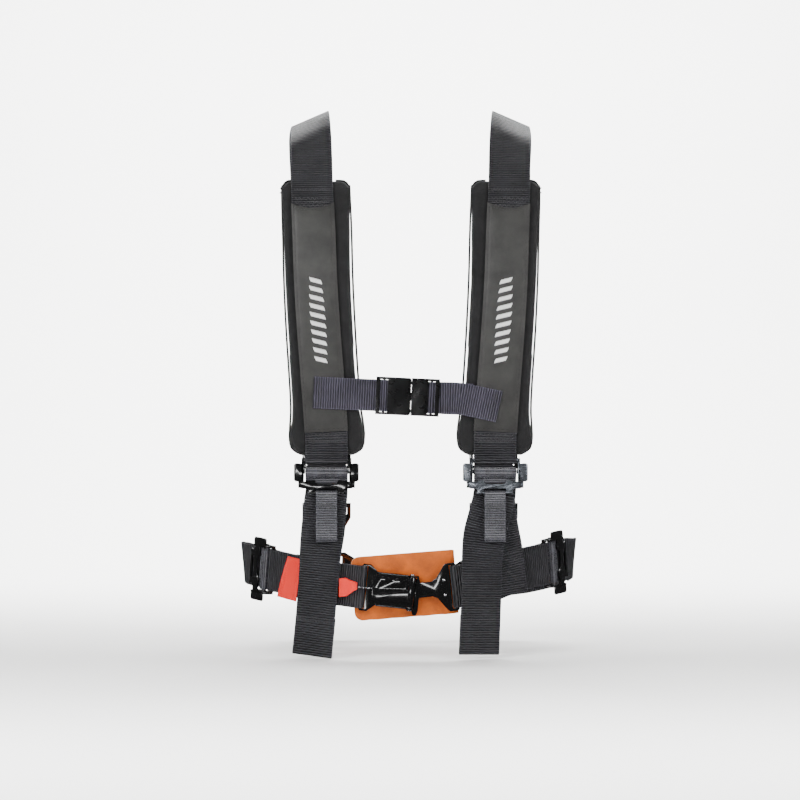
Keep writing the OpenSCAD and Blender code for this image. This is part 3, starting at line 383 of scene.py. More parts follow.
class Route:
    """The line that a flat piece is laid along. Each station is a place and the direction of the width."""

    def __init__(self, stations, mirrored=False):
        kept = [stations[0]]
        for s in stations[1:]:
            if (Vector(s[:3]) - Vector(kept[-1][:3])).length > 0.05:
                kept.append(s)
        self.mirrored = mirrored
        self.places = [Vector(s[:3]) for s in kept]
        last = len(kept) - 1
        self.ways, self.widths, self.outs, self.lengths = [], [], [], [0.0]
        for i, s in enumerate(kept):
            way = (self.places[min(i + 1, last)] - self.places[max(i - 1, 0)]).normalized()
            wide = Vector(s[3:])
            wide = (wide - wide.dot(way) * way).normalized()
            self.ways.append(way)
            self.widths.append(wide)
            self.outs.append(way.cross(wide))
            if i:
                self.lengths.append(self.lengths[-1] + (self.places[i] - self.places[i - 1]).length)
        self.length = self.lengths[-1]

    def place(self, point):
        """Where a flat point (across, along, out) comes to lie."""
        across, along, out = point
        i = min(max(bisect.bisect_right(self.lengths, along) - 1, 0), len(self.places) - 2)
        t = (along - self.lengths[i]) / (self.lengths[i + 1] - self.lengths[i])
        spot = self.places[i].lerp(self.places[i + 1], t)
        t = min(max(t, 0.0), 1.0)
        spot = spot + self.widths[i].lerp(self.widths[i + 1], t) * across
        spot = spot + self.outs[i].lerp(self.outs[i + 1], t).normalized() * out
        return Vector((-spot.x, spot.y, spot.z)) if self.mirrored else spot

    def along_at(self, height, after=0.0):
        """How far along the route first passes a height."""
        for i in range(len(self.places) - 1):
            a, b = self.places[i].z, self.places[i + 1].z
            if self.lengths[i] >= after and min(a, b) <= height <= max(a, b) and a != b:
                return self.lengths[i] + (height - a) / (b - a) * (self.lengths[i + 1] - self.lengths[i])
        raise RuntimeError(f"the route never passes {height} after {after}")

    def marks(self, start, stop, step):
        """Lengths from start to stop at even steps, and closer where the route bends."""
        count = max(2, round((stop - start) / step))
        even = [start + (stop - start) * k / count for k in range(count + 1)]
        bends = [
            self.lengths[i]
            for i in range(1, len(self.ways) - 1)
            if start + 0.3 < self.lengths[i] < stop - 0.3 and self.ways[i - 1].angle(self.ways[i + 1]) > 0.25
        ]
        made = []
        for s in sorted(even + bends):
            if not made or s - made[-1] > 0.3:
                made.append(s)
        return made


def at_adjuster(out, up):
    return (ADJUSTER[0], ADJUSTER[1] - out, ADJUSTER[2] + up, 1, 0, 0)


def lap_place(side, across, up, out):
    sp, cp = math.sin(math.radians(LAP_PITCH)), math.cos(math.radians(LAP_PITCH))
    sy, cy = math.sin(math.radians(LAP_YAW)), math.cos(math.radians(LAP_YAW))
    v = -across * sp - up * cp
    x, y, z = LAP_MID[side]
    return (x + v * cy + out * sy, y + v * sy - out * cy, z + across * cp - up * sp)


def at_lap(side, out, up):
    a, b = lap_place(side, 0, up, out), lap_place(side, 1, up, out)
    return a + tuple(q - p for p, q in zip(a, b))


def at_rear(out, z):
    return (REAR_X, ANCHOR_Y + out, z, 1, 0, 0)


def inner_layer(route, along):
    """A station one layer in from a route, for webbing that doubles back on it."""
    i = bisect.bisect_right(route.lengths, along) - 1
    return tuple(route.places[i] - route.outs[i] * LAY) + tuple(route.widths[i])


BACK = [(110, 104, 228, 1, 0, 0), (114, 106, 270, 1, 0, 0), (119, 108, 330, 1, 0, 0), (123, 107, 400, 1, 0, 0),
        (127, 101, 466, 1, 0.06, 0), (129, 84, 522, 1, 0.1, -0.1), (129, 48, 562, 1, 0.08, -0.3)]
RIDGE = (126, 5, 580, 1, 0, -0.44)
FRONT = [(124, -28, 565, 1, -0.05, -0.3), (121.8, -60, 533, 1, -0.1, -0.12), (119.6, -95, 483, 1, -0.06, 0),
         (117, -112, 432, 1, -0.02, 0), (114.4, -124, 372, 1, 0, 0), (110.5, -131, 312, 1, 0, 0),
         (106.4, -133.6, 260, 1, 0, 0), (103.2, -133.8, 218, 1, 0, 0), (101.4, -133.8, 190, 1, 0, 0)]
WEAVE = [(0.8, 44), (0.8, 20), (1, 17), (3.7, 10.8), (6.5, 4.6), (6.9, 0), (6.5, -4.6), (3.7, -10.8), (1, -17),
         (0.8, -20)]
SHOULDER = smooth(BACK + [RIDGE] + FRONT + [at_adjuster(0.9, 38), at_adjuster(2.4, 28)], FINE)
FRONT_START = FINE * (len(BACK) + 1)
THIRD = FINE // 3


def shoulder_stations():
    def back_in(q):
        return (q[0] - LAY, q[1]) if q[0] < 2 else (q[0] - LAY + 0.1, q[1] - 0.5 if q[1] > 0 else q[1] + 0.5)

    return (
        smooth([at_rear(q[0], SLIDE_Z + q[1]) for q in WEAVE], 4)
        + smooth([at_rear(1.6, SLIDE_Z - 34), at_rear(WRAP_R, ANCHOR_Z + 12)], 3)
        + [at_rear(q[0], ANCHOR_Z + q[1]) for q in arc(0, 0, WRAP_R, 0, -180, 14)]
        + smooth([at_rear(-WRAP_R, ANCHOR_Z + 12), at_rear(-1.6, SLIDE_Z - 34)], 3)
        + smooth([at_rear(q[0], SLIDE_Z + q[1]) for q in map(back_in, reversed(WEAVE))], 4)
        + SHOULDER
        + [at_adjuster(*q) for q in arc(0, FIXED_B, WRAP_R, 0, -180, 14)]
        + smooth([at_adjuster(-2.6, 28), at_adjuster(-0.8, 38), at_adjuster(-0.8, 52)], 4)
    )


def pad_stations():
    low_end = [at_adjuster(0.6, 33), at_adjuster(0.3, 29)]
    return SHOULDER[FRONT_START + 5 * THIRD : FRONT_START + 27 * THIRD + 1] + low_end


def cover_stations():
    return SHOULDER[FRONT_START + 7 * THIRD : FRONT_START + 24 * THIRD + 1]


LOWER = (
    [(102, -123.4, 108, 1, 0, 0), (104, -121.4, 76, 1, 0.06, 0), (108, -118.8, 44, 0.94, 0.3, 0),
     (109.5, -117.8, 20, 0.87, 0.46, 0), (111, -117, -13, 0.87, 0.46, 0)],
    [(100, -123.4, 108, 1, 0, 0), (104, -121.6, 76, 1, 0.06, 0), (111, -118.8, 46, 0.94, 0.3, 0.05),
     (116, -116, 20, 0.87, 0.46, 0.1), (119, -115, -6, 0.87, 0.46, 0.14)],
)
TAIL = (
    [(103, -126.4, 106, 1, 0, 0), (105.4, -126.4, 82, 1, 0.02, 0), (107.6, -127.2, 58, 1, 0.06, 0),
     (110, -127.6, 25, 0.94, 0.28, 0), (114, -128, -26, 0.94, 0.34, 0), (119, -128, -78, 0.94, 0.34, 0)],
    [(99, -126.4, 106, 1, 0, 0), (93, -126.6, 84, 1, 0.02, 0), (88, -127.8, 64, 1, 0.06, 0),
     (85.4, -131.6, 34, 0.95, 0.26, 0), (85, -134, 5, 0.94, 0.3, 0), (82, -133, -76, 0.94, 0.3, 0)],
)
HEM = 46.0


def lower_stations(side):
    return smooth([at_adjuster(-5.4, STRAP_B), at_adjuster(-7.4, -16)] + LOWER[side], 6)


def tail_stations(side):
    """The tail down to its end, then round and up its own back for the hem."""
    down = smooth([at_adjuster(-3.4, STRAP_B), at_adjuster(-5, -16)] + TAIL[side], 6)
    route = Route(down)
    last, way, inwards = route.places[-1], route.ways[-1], -route.outs[-1]
    wide = tuple(route.widths[-1])
    for k in range(1, 7):
        a = math.radians(30 * k)
        spot = last + way * math.sin(a) * LAY / 2 + inwards * (1 - math.cos(a)) * LAY / 2
        down.append(tuple(spot) + wide)
    for k in range(1, 5):
        down.append(tuple(last + inwards * LAY - way * HEM * k / 4) + wide)
    return down


WRAP = (
    smooth([(-5.4, LEG_B), (-5.4, -2), (-5.2, 1), (-4.3, 5)], 3)
    + arc(0, SLIDE_B, WRAP_R, 180, 0, 14)
    + smooth([(3.3, 4.6), (0.6, 1.8), (-2.5, 0.3), (-3.4, -2.2), (-3.4, LEG_B)], 3)
)


def tab_stations():
    r, half, low = 1.5 + 0.2 + THIN_T / 2, THIN_T / 2 + 0.1, TAB_BAR_B - 58
    flat = (
        smooth([(-half, TAB_BAR_B - 14), (-half, TAB_BAR_B - 8), (-1.4, TAB_BAR_B - 4)], 4)
        + arc(0, TAB_BAR_B, r, 190, -10, 12)
        + smooth([(1.4, TAB_BAR_B - 4), (half, TAB_BAR_B - 9), (half, TAB_BAR_B - 15), (2.4, TAB_BAR_B - 30),
                  (2.8, low + 14), (1.8, low + 3)], 5)
        + [(0, low)]
        + smooth([(-1.8, low + 3), (-2.6, low + 14), (-2.2, TAB_BAR_B - 30), (-half, TAB_BAR_B - 16)], 5)
    )
    return [at_adjuster(*q) for q in flat]


LATCH_AT, LATCH_DROOP, LATCH_END = Vector((-26, -126, 0)), 6.0, -36.5
DROOP = math.radians(LATCH_DROOP)
LATCH_LOOP_R = math.hypot(6, 2.5) / 2 + 0.3 + WEB_T / 2
LATCH_BAR = (26 - (LATCH_END + 3) * math.cos(DROOP), -127.25, -(LATCH_END + 3) * math.sin(DROOP))
LATCH_WIDE = (-math.sin(DROOP), 0, math.cos(DROOP))
LATCH_LOOP = [(LATCH_BAR[0] + x, LATCH_BAR[1] + y, LATCH_BAR[2]) + LATCH_WIDE
              for x, y in arc(0, 0, LATCH_LOOP_R, 90, 270, 14)]


def moved(station, x, y, z):
    return (station[0] + x, station[1] + y, station[2] + z) + tuple(station[3:])


LAP_FRONT = (
    [(100, -118.8, 8, -0.08, 0, 1), (120, -108.6, 11, -0.08, 0, 1), (138, -96.6, 14, -0.08, 0, 1)],
    [(100, -119.4, 12, -0.16, 0, 1), (118, -110.6, 18, -0.16, 0, 1), (136, -98.4, 23, -0.12, 0, 1)],
)
LAP_START = ([moved(LATCH_LOOP[-1], 6, 0.8, 0.5), (84, -124.4, 6, -0.1, 0, 1)], [(86, -126.2, 7, -0.12, 0, 1)])


def lap_curve(side):
    return smooth(LAP_START[side] + LAP_FRONT[side] + [at_lap(side, 0.7, 42), at_lap(side, 2.6, 30)], FINE)


def lap_end(side):
    route = Route(lap_curve(side))
    near = route.length - 12
    return [at_lap(side, *q) for q in arc(0, FIXED_B, WRAP_R, 0, -180, 14)] + smooth(
        [at_lap(side, -2.6, 28), at_lap(side, -1, 38), inner_layer(route, near - 6), inner_layer(route, near - 14)], 4
    )


LAP_ANCHOR, LAP_ANCHOR_TURN = (100.0, 124.0, -2.0), 14.0
REAR_BELT = (
    [(203, -18, 25, 0.08, -0.05, 1), (204, 14, 24, 0.04, -0.02, 1), (198, 44, 20, 0.04, -0.01, 1),
     (182, 80, 12, 0.04, 0, 1), (152, 108, 3, 0, 0, 1)],
    [(198.5, -18, 31, 0.08, -0.05, 1), (200, 14, 29, 0.04, -0.02, 1), (195, 44, 23, 0.04, -0.01, 1),
     (180, 80, 13, 0.04, 0, 1), (152, 108, 4, 0, 0, 1)],
)
LAP_TAIL = (
    [(206.6, -20, 25, 0.1, -0.05, 1), (208.4, 12, 25, 0.05, -0.02, 1), (202.6, 44, 20, 0.05, 0, 1)],
    [(202, -20, 31, 0.1, -0.05, 1), (204.6, 12, 29.6, 0.05, -0.02, 1), (199.6, 44, 23, 0.05, 0, 1)],
)


def rear_belt_stations(side):
    c, s = math.cos(math.radians(LAP_ANCHOR_TURN)), math.sin(math.radians(LAP_ANCHOR_TURN))
    x, y, z = LAP_ANCHOR
    loop = [(x + a * c + b * s, y + b * c - a * s, z, 0, 0, 1) for a, b in arc(0, 0, WRAP_R, -90, -270, 14)]
    return (
        [at_lap(side, -5.4, STRAP_B)]
        + smooth([at_lap(side, -5.6, -13), at_lap(side, -6.6, -20)] + REAR_BELT[side]
                 + [(124, 121.2, -1, 0, 0, 1), (108, 124.6 - WRAP_R, -2, 0, 0, 1)], 8)
        + loop
        + smooth([(108, 122.4 + WRAP_R, -2, 0, 0, 1), (124, 123, -1, 0, 0, 1), (150, 111.6, 3, 0, 0, 1)], 8)
    )


def lap_tail_stations(side):
    return [at_lap(side, -3.4, STRAP_B)] + smooth(
        [at_lap(side, -3.4, -13), at_lap(side, -3.6, -20)] + LAP_TAIL[side], 8
    )


LATCH_PLACE = Matrix.Translation(LATCH_AT) @ Matrix.Rotation(DROOP, 4, "Y")
LINK_PLACE = Matrix.Translation((19.4, -128.9, 0.6)) @ Matrix.Rotation(-math.radians(6), 4, "Y")
CHEST_PLACE = Matrix.Translation((-4, -135.5, 232)) @ Matrix.Rotation(math.radians(2.6), 4, "Y")
LINK_END, LADDER_X, LOOP_R, LOOP_SLACK = 37.0, 28.5, 2.4, 9.5


def in_place(matrix, flat):
    """Stations in a fitting's own axes, (x, out, z) with the width upright or given, in the row frame."""
    made = []
    for q in flat:
        wide = Vector(q[3:]) if len(q) > 3 else Vector((0, 0, 1))
        spot = matrix @ Vector((q[0], -q[1], q[2] if len(q) > 2 else 0))
        made.append(tuple(spot) + tuple(matrix.to_3x3() @ wide))
    return made


# ---- modelling ----
def oval(across, up, sides):
    """An oval cross-section."""
    turns = [2 * math.pi * k / sides for k in range(sides)]
    return [(across * math.cos(a), up * math.sin(a)) for a in turns]


def webbing_ring(width, thick):
    """Flat webbing's cross-section, with both selvedges rounded."""
    half, h = width / 2, thick / 2
    edge = [(half - 0.9, h), (half - 0.3, h * 0.8), (half, h * 0.3)]
    edge += [(x, -z) for x, z in reversed(edge)]
    return edge + [(half / 3, -h), (-half / 3, -h)] + [(-x, -z) for x, z in edge] + [(-half / 3, h), (half / 3, h)]


def flat_bar(bm, ring, lengths, off=0.0):
    """A bar of one cross-section, drawn out along y with a ring at each length."""
    face = bm.faces.new([bm.verts.new((x, lengths[0], z + off)) for x, z in ring])
    edges = list(face.edges)
    for a, b in zip(lengths, lengths[1:]):
        made = bmesh.ops.extrude_edge_only(bm, edges=edges)["geom"]
        verts = [g for g in made if isinstance(g, bmesh.types.BMVert)]
        fresh = set(verts)
        edges = [g for g in made if isinstance(g, bmesh.types.BMEdge) and g.verts[0] in fresh and g.verts[1] in fresh]
        bmesh.ops.translate(bm, vec=(0, b - a, 0), verts=verts)
    bmesh.ops.contextual_create(bm, geom=edges)


def flat_map(bm):
    """Keeps each point's place on the flat piece as its UV, in metres, for patterns that follow the cloth."""
    layer = bm.loops.layers.uv.get("flat") or bm.loops.layers.uv.new("flat")
    for face in bm.faces:
        for loop in face.loops:
            loop[layer].uv = (loop.vert.co.x * MM, loop.vert.co.y * MM)


def lay(bm, route):
    for vert in bm.verts:
        vert.co = route.place(vert.co)


def piece(name, bm, look, body, stands_for=(), crease=38.0, more=()):
    """Closes a mesh made in millimetres into an object of the harness."""
    bmesh.ops.recalc_face_normals(bm, faces=bm.faces)
    bmesh.ops.scale(bm, vec=(MM, MM, MM), verts=bm.verts)
    mesh = bpy.data.meshes.new(name)
    bm.to_mesh(mesh)
    bm.free()
    mesh.shade_smooth()
    mesh.set_sharp_from_angle(angle=math.radians(crease))
    made = bpy.data.objects.new(name, mesh)
    bpy.context.scene.collection.objects.link(made)
    for kind in (look, *more):
        mesh.materials.append(finish(kind))
    if body:
        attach(made, body)
    if stands_for:
        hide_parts(*stands_for)
    return made


def ribbon(name, route, body, slot, stands_for=(), look="webbing", width=WEB_W, thick=WEB_T, off=0.0, shape=None,
           step=5.0):
    """A length of webbing laid along a route, so far out from it, and shaped while it is still flat."""
    bm = bmesh.new()
    flat_bar(bm, webbing_ring(width, thick), route.marks(0.0, route.length, step), off)
    flat_map(bm)
    if shape:
        for vert in bm.verts:
            vert.co = shape(vert.co)
    lay(bm, route)
    return piece(name, bm, look, body, stands_for)


def stitch(bm, x, y, z, angle, size, thread):
    """One stitch: a slim bead of thread on the cloth."""
    turn = Matrix.Translation((x, y, z)) @ Matrix.Rotation(angle, 4, "Z")
    shape = turn @ Matrix.Diagonal((thread, size, thread * 0.8, 1)) @ Matrix.Rotation(math.pi / 2, 4, "X")
    bmesh.ops.create_uvsphere(bm, u_segments=6, v_segments=4, radius=0.5, matrix=shape)


def seam(bm, points, out, pitch=3.4, thread=0.6, fill=0.8):
    """A row of stitches along flat points."""
    for (ax, ay), (bx, by) in zip(points, points[1:]):
        long = math.hypot(bx - ax, by - ay)
        count = max(1, round(long / pitch))
        angle = math.atan2(ax - bx, by - ay)
        for k in range(count):
            t = (k + 0.5) / count
            x, y = ax + (bx - ax) * t, ay + (by - ay) * t
            stitch(bm, x, y, out(x, y) if callable(out) else out, angle, long / count * fill, thread)


def box_seam(bm, half, low, high, out, **how):
    """A sewn box, with a cross in it."""
    corners = [(-half, low), (half, low), (half, high), (-half, high)]
    seam(bm, corners + corners[:1], out, **how)
    seam(bm, [corners[0], corners[2]], out + 0.15, **how)
    seam(bm, [corners[1], corners[3]], out + 0.15, **how)


def bar_tack(bm, low_x, high_x, y, out, tall=3.0, pitch=1.5, thread=0.6):
    """A dense zigzag across webbing."""
    count = round((high_x - low_x) / pitch)
    step = (high_x - low_x) / count
    points = [(low_x + step * k, y + (tall / 2 if k % 2 else -tall / 2)) for k in range(count + 1)]
    seam(bm, points, out, pitch=99, thread=thread, fill=1.0)


def sewn(name, bm, route, body, look="thread"):
    lay(bm, route)
    return piece(name, bm, look, body)


def draw_out(bm, faces, way):
    """Draws faces out by a vector into a closed solid. Gives back what it made."""
    made = bmesh.ops.extrude_face_region(bm, geom=faces, use_keep_orig=True)["geom"]
    bmesh.ops.translate(bm, vec=way, verts=[g for g in made if isinstance(g, bmesh.types.BMVert)])
    return made


def plate(bm, outline, near, far):
    """A flat plate from a closed outline in (x, z), from near to far."""
    verts = [bm.verts.new((x, -near, z)) for x, z in outline]
    edges = [bm.edges.new((verts[i - 1], verts[i])) for i in range(len(verts))]
    draw_out(bm, bmesh.ops.contextual_create(bm, geom=edges)["faces"], (0, near - far, 0))


def rod(bm, a, b, radius, sides=32, ends=None):
    """A round bar between two points."""
    a, b = Vector(a), Vector(b)
    turn = (b - a).to_track_quat("Z", "Y").to_matrix().to_4x4()
    bmesh.ops.create_cone(bm, cap_ends=True, segments=sides, radius1=radius, radius2=radius if ends is None else ends,
                          depth=(b - a).length, matrix=Matrix.Translation((a + b) / 2) @ turn)


def soften(bm, width, segments=2):
    """Rounds the edges that turn by more than 35 degrees."""
    limit = math.radians(35)
    edges = [e for e in bm.edges if len(e.link_faces) == 2 and e.calc_face_angle(0.0) > limit]
    bmesh.ops.bevel(bm, geom=edges, offset=width, offset_type="OFFSET", segments=segments, profile=0.5,
                    affect="EDGES", material=-1, clamp_overlap=True)


def joined(parts):
    """Several meshes in one."""
    whole = bmesh.new()
    for part in parts:
        mesh = bpy.data.meshes.new("part")
        part.to_mesh(mesh)
        whole.from_mesh(mesh)
        bpy.data.meshes.remove(mesh)
        part.free()
    return whole


def softened(build, width, segments=2):
    """One softened part, made by a function that fills a mesh."""
    bm = bmesh.new()
    build(bm)
    bmesh.ops.recalc_face_normals(bm, faces=bm.faces)
    soften(bm, width, segments)
    return bm


def rounded_node(node, width, look, body, segments=2):
    """A copy of a CAD node with its edges rounded, as pressing or moulding leaves them."""
    bm = bmesh.new()
    bm.from_mesh(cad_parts[node].data)
    bmesh.ops.scale(bm, vec=(1000, 1000, 1000), verts=bm.verts)
    bmesh.ops.remove_doubles(bm, verts=bm.verts, dist=0.002)
    bmesh.ops.dissolve_limit(bm, angle_limit=math.radians(1), use_dissolve_boundaries=False, verts=bm.verts,
                             edges=bm.edges, delimit=set())
    soften(bm, width, segments)
    return piece(node + "_rounded", bm, look, body, (node,))


def settle(bm, place, side):
    """Puts a fitting in its place on the right, or mirrors it to the left."""
    bmesh.ops.transform(bm, matrix=place, verts=bm.verts)
    if side == 0:
        bmesh.ops.scale(bm, vec=(-1, 1, 1), verts=bm.verts)


def lap_matrix(side):
    return (Matrix.Translation(LAP_MID[side]) @ Matrix.Rotation(math.radians(LAP_YAW), 4, "Z")
            @ Matrix.Rotation(-math.radians(90 + LAP_PITCH), 4, "Y"))


# ---- settings ----
def length_setting(name, description, default, low, high):
    """A length's settings: metres underneath, shown in the scene's units."""
    return {"name": name, "description": description, "default": default * MM, "min": low * MM, "max": high * MM,
            "subtype": "DISTANCE", "unit": "LENGTH", "precision": 4}


def colour_setting(name, description, code):
    """A colour's settings, from its sRGB hex code."""
    return {"name": name, "description": description, "default": colour(code), "min": 0.0, "max": 1.0, "size": 4,
            "subtype": "COLOR"}


class HarnessLook(bpy.types.PropertyGroup):
    """Sizes and colours that change the looks and not the fit."""

    rib: bpy.props.FloatProperty(
        **length_setting("Webbing rib", "Pitch of the webbing's ribs", 2.9, 1.0, 5.0)
    )
    chest_rib: bpy.props.FloatProperty(
        **length_setting("Chest rib", "Pitch of the chest webbing's ribs", 2.9, 1.0, 6.0)
    )
    cover_stitch: bpy.props.FloatProperty(
        **length_setting("Cover stitch", "Length of a stitch round the covers", 5.5, 2.0, 10.0)
    )
    thread: bpy.props.FloatProperty(
        **length_setting("Thread", "Diameter of the sewing thread", 0.7, 0.3, 1.2)
    )
    swell: bpy.props.FloatProperty(
        **length_setting("Pad swell", "The most that a pad's fabric puffs out", 2.5, 0.0, 6.0)
    )
    # the webbing colours are their crests' painted highlight; the grooves are painted darker from them as painted
    # shade
    webbing: bpy.props.FloatVectorProperty(
        **colour_setting("Webbing", "Crests of the black webbing", "#3d3d42")
    )
    chest_webbing: bpy.props.FloatVectorProperty(
        **colour_setting("Chest webbing", "Crests of the chest webbing", "#565363")
    )
    red: bpy.props.FloatVectorProperty(**colour_setting("Red", "The red patch and pull tab", "#ff2814"))
    # the webbing's black thread is painted grey: its black colour plus a painted sheen; the covers' thread is it made
    # darker
    thread_colour: bpy.props.FloatVectorProperty(
        **colour_setting("Stitches", "Thread of the black webbing", "#3c3c3f")
    )
    motif: bpy.props.FloatVectorProperty(
        **colour_setting("Motif", "Embroidered bars on the covers", "#ececea")
    )
    pad: bpy.props.FloatVectorProperty(**colour_setting("Pads", "Knitted fabric of the pads", "#1a1a1b"))
    cover: bpy.props.FloatVectorProperty(**colour_setting("Covers", "Leatherette of the covers", "#22211f"))
    leather: bpy.props.FloatVectorProperty(
        **colour_setting("Leather", "The pad behind the buckle", "#b8560c")
    )
    cut_edge: bpy.props.FloatVectorProperty(
        **colour_setting("Cut edge", "The leather's undyed edge", "#e0a373")
    )
    enamel: bpy.props.FloatVectorProperty(
        **colour_setting("Enamel", "The buckle and the black fittings", "#040405")
    )
    chrome: bpy.props.FloatVectorProperty(
        **colour_setting("Dark chrome", "The plated shoulder adjuster", "#8e939b")
    )
    steel: bpy.props.FloatVectorProperty(
        **colour_setting("Steel", "Pins, springs, wire and rivets", "#d0d0d4")
    )
    plastic: bpy.props.FloatVectorProperty(**colour_setting("Plastic", "The chest buckle", "#060607"))
    backdrop: bpy.props.FloatVectorProperty(
        **colour_setting("Backdrop", "The studio floor and wall", "#fbfbfa")
    )


class HARNESS_OT_shoulder_webbing(bpy.types.Operator):
    """Makes both shoulder straps, the load straps and the tails, with their sewn boxes and hems"""

    bl_idname = "harness.shoulder_webbing"
    bl_label = "Shoulder webbing"

    def execute(self, context):
        thread = context.scene.harness_look.thread / MM
        top = WEB_T / 2 + 0.18
        for name, side in SIDES.items():
            flip = side == 0
            route = Route(shoulder_stations(), flip)
            ribbon(f"shoulder_webbing_{name}", route, "harness", "webbing", (f"shoulder_strap_{name}",))
            front = route.along_at(500, route.along_at(579))
            bm = bmesh.new()
            bar_tack(bm, -22, 22, route.along_at(TOP_TACK, front), top, 3.6, 1.8, thread)
            for z in PAD_TACKS:
                bar_tack(bm, -21, 21, route.along_at(z, front), top, 4.2, 2.6, thread)
            for z in LOW_TACKS:
                bar_tack(bm, -22, 22, route.along_at(z, front), top, 3.6, 2.4, thread)
            for z in (SLIDE_Z + 30, SLIDE_Z + 38):
                seam(bm, [(-22, route.along_at(z)), (22, route.along_at(z))], top, thread=thread)
            sewn(f"shoulder_stitching_{name}", bm, route, "harness")

            route = Route(lower_stations(side), flip)
            ribbon(f"load_webbing_{name}", route, "harness", "webbing", (f"lower_strap_{name}",))
            bm = bmesh.new()
            box_seam(bm, 21, route.length - 48, route.length - 6, top, thread=thread)
            seam(bm, [(-21, route.length - 8.5), (21, route.length - 8.5)], top, thread=thread)
            sewn(f"load_stitching_{name}", bm, route, "harness")

            route = Route(tail_stations(side), flip)
            ribbon(f"tail_webbing_{name}", route, "harness", "webbing", (f"tail_{name}",))
            fold = route.length - HEM - LAY * math.pi / 2
            bm = bmesh.new()
            seam(bm, [(-24, fold - 44), (24, fold - 44)], top, thread=thread)
            seam(bm, [(-24, fold - 40.5), (24, fold - 40.5)], top, thread=thread)
            sewn(f"tail_stitching_{name}", bm, route, "harness")
        return {"FINISHED"}


def puffed(name, bm, cap):
    """Swells a closed flat shape with cloth under pressure, and gives back its mesh in millimetres."""
    bmesh.ops.recalc_face_normals(bm, faces=bm.faces)
    bmesh.ops.scale(bm, vec=(MM, MM, MM), verts=bm.verts)
    mesh = bpy.data.meshes.new(name)
    bm.to_mesh(mesh)
    bm.free()
    shell = bpy.data.objects.new(name, mesh)
    bpy.context.scene.collection.objects.link(shell)
    remesh = shell.modifiers.new("remesh", "REMESH")
    remesh.mode, remesh.voxel_size = "VOXEL", FELT_VOXEL * MM
    shell.data = bpy.data.meshes.new_from_object(shell.evaluated_get(bpy.context.evaluated_depsgraph_get()))
    shell.modifiers.clear()
    start = [v.co.copy() for v in shell.data.vertices]
    held = shell.vertex_groups.new(name="held")
    held.add([i for i, p in enumerate(start) if abs(p.x) < 0.024], 1.0, "REPLACE")
    cloth = shell.modifiers.new("cloth", "CLOTH")
    cloth.settings.vertex_group_mass = "held"
    cloth.settings.use_pressure = True
    cloth.settings.uniform_pressure_force = FELT_PRESSURE
    cloth.settings.effector_weights.gravity = 0.0
    cloth.settings.tension_stiffness = cloth.settings.compression_stiffness = 12
    for step in range(1, FELT_STEPS + 1):
        bpy.context.scene.frame_set(step)
    swollen = shell.evaluated_get(bpy.context.evaluated_depsgraph_get()).to_mesh()
    moved_to = [v.co.copy() for v in swollen.vertices]
    shell.modifiers.clear()
    for vert, a, b in zip(shell.data.vertices, start, moved_to):
        shift = b - a
        if shift.length > cap * MM:
            shift = shift.normalized() * cap * MM
        vert.co = a + shift
    bpy.context.scene.frame_set(1)
    made = bmesh.new()
    made.from_mesh(shell.data)
    bmesh.ops.scale(made, vec=(1000, 1000, 1000), verts=made.verts)
    bpy.data.objects.remove(shell)
    return made


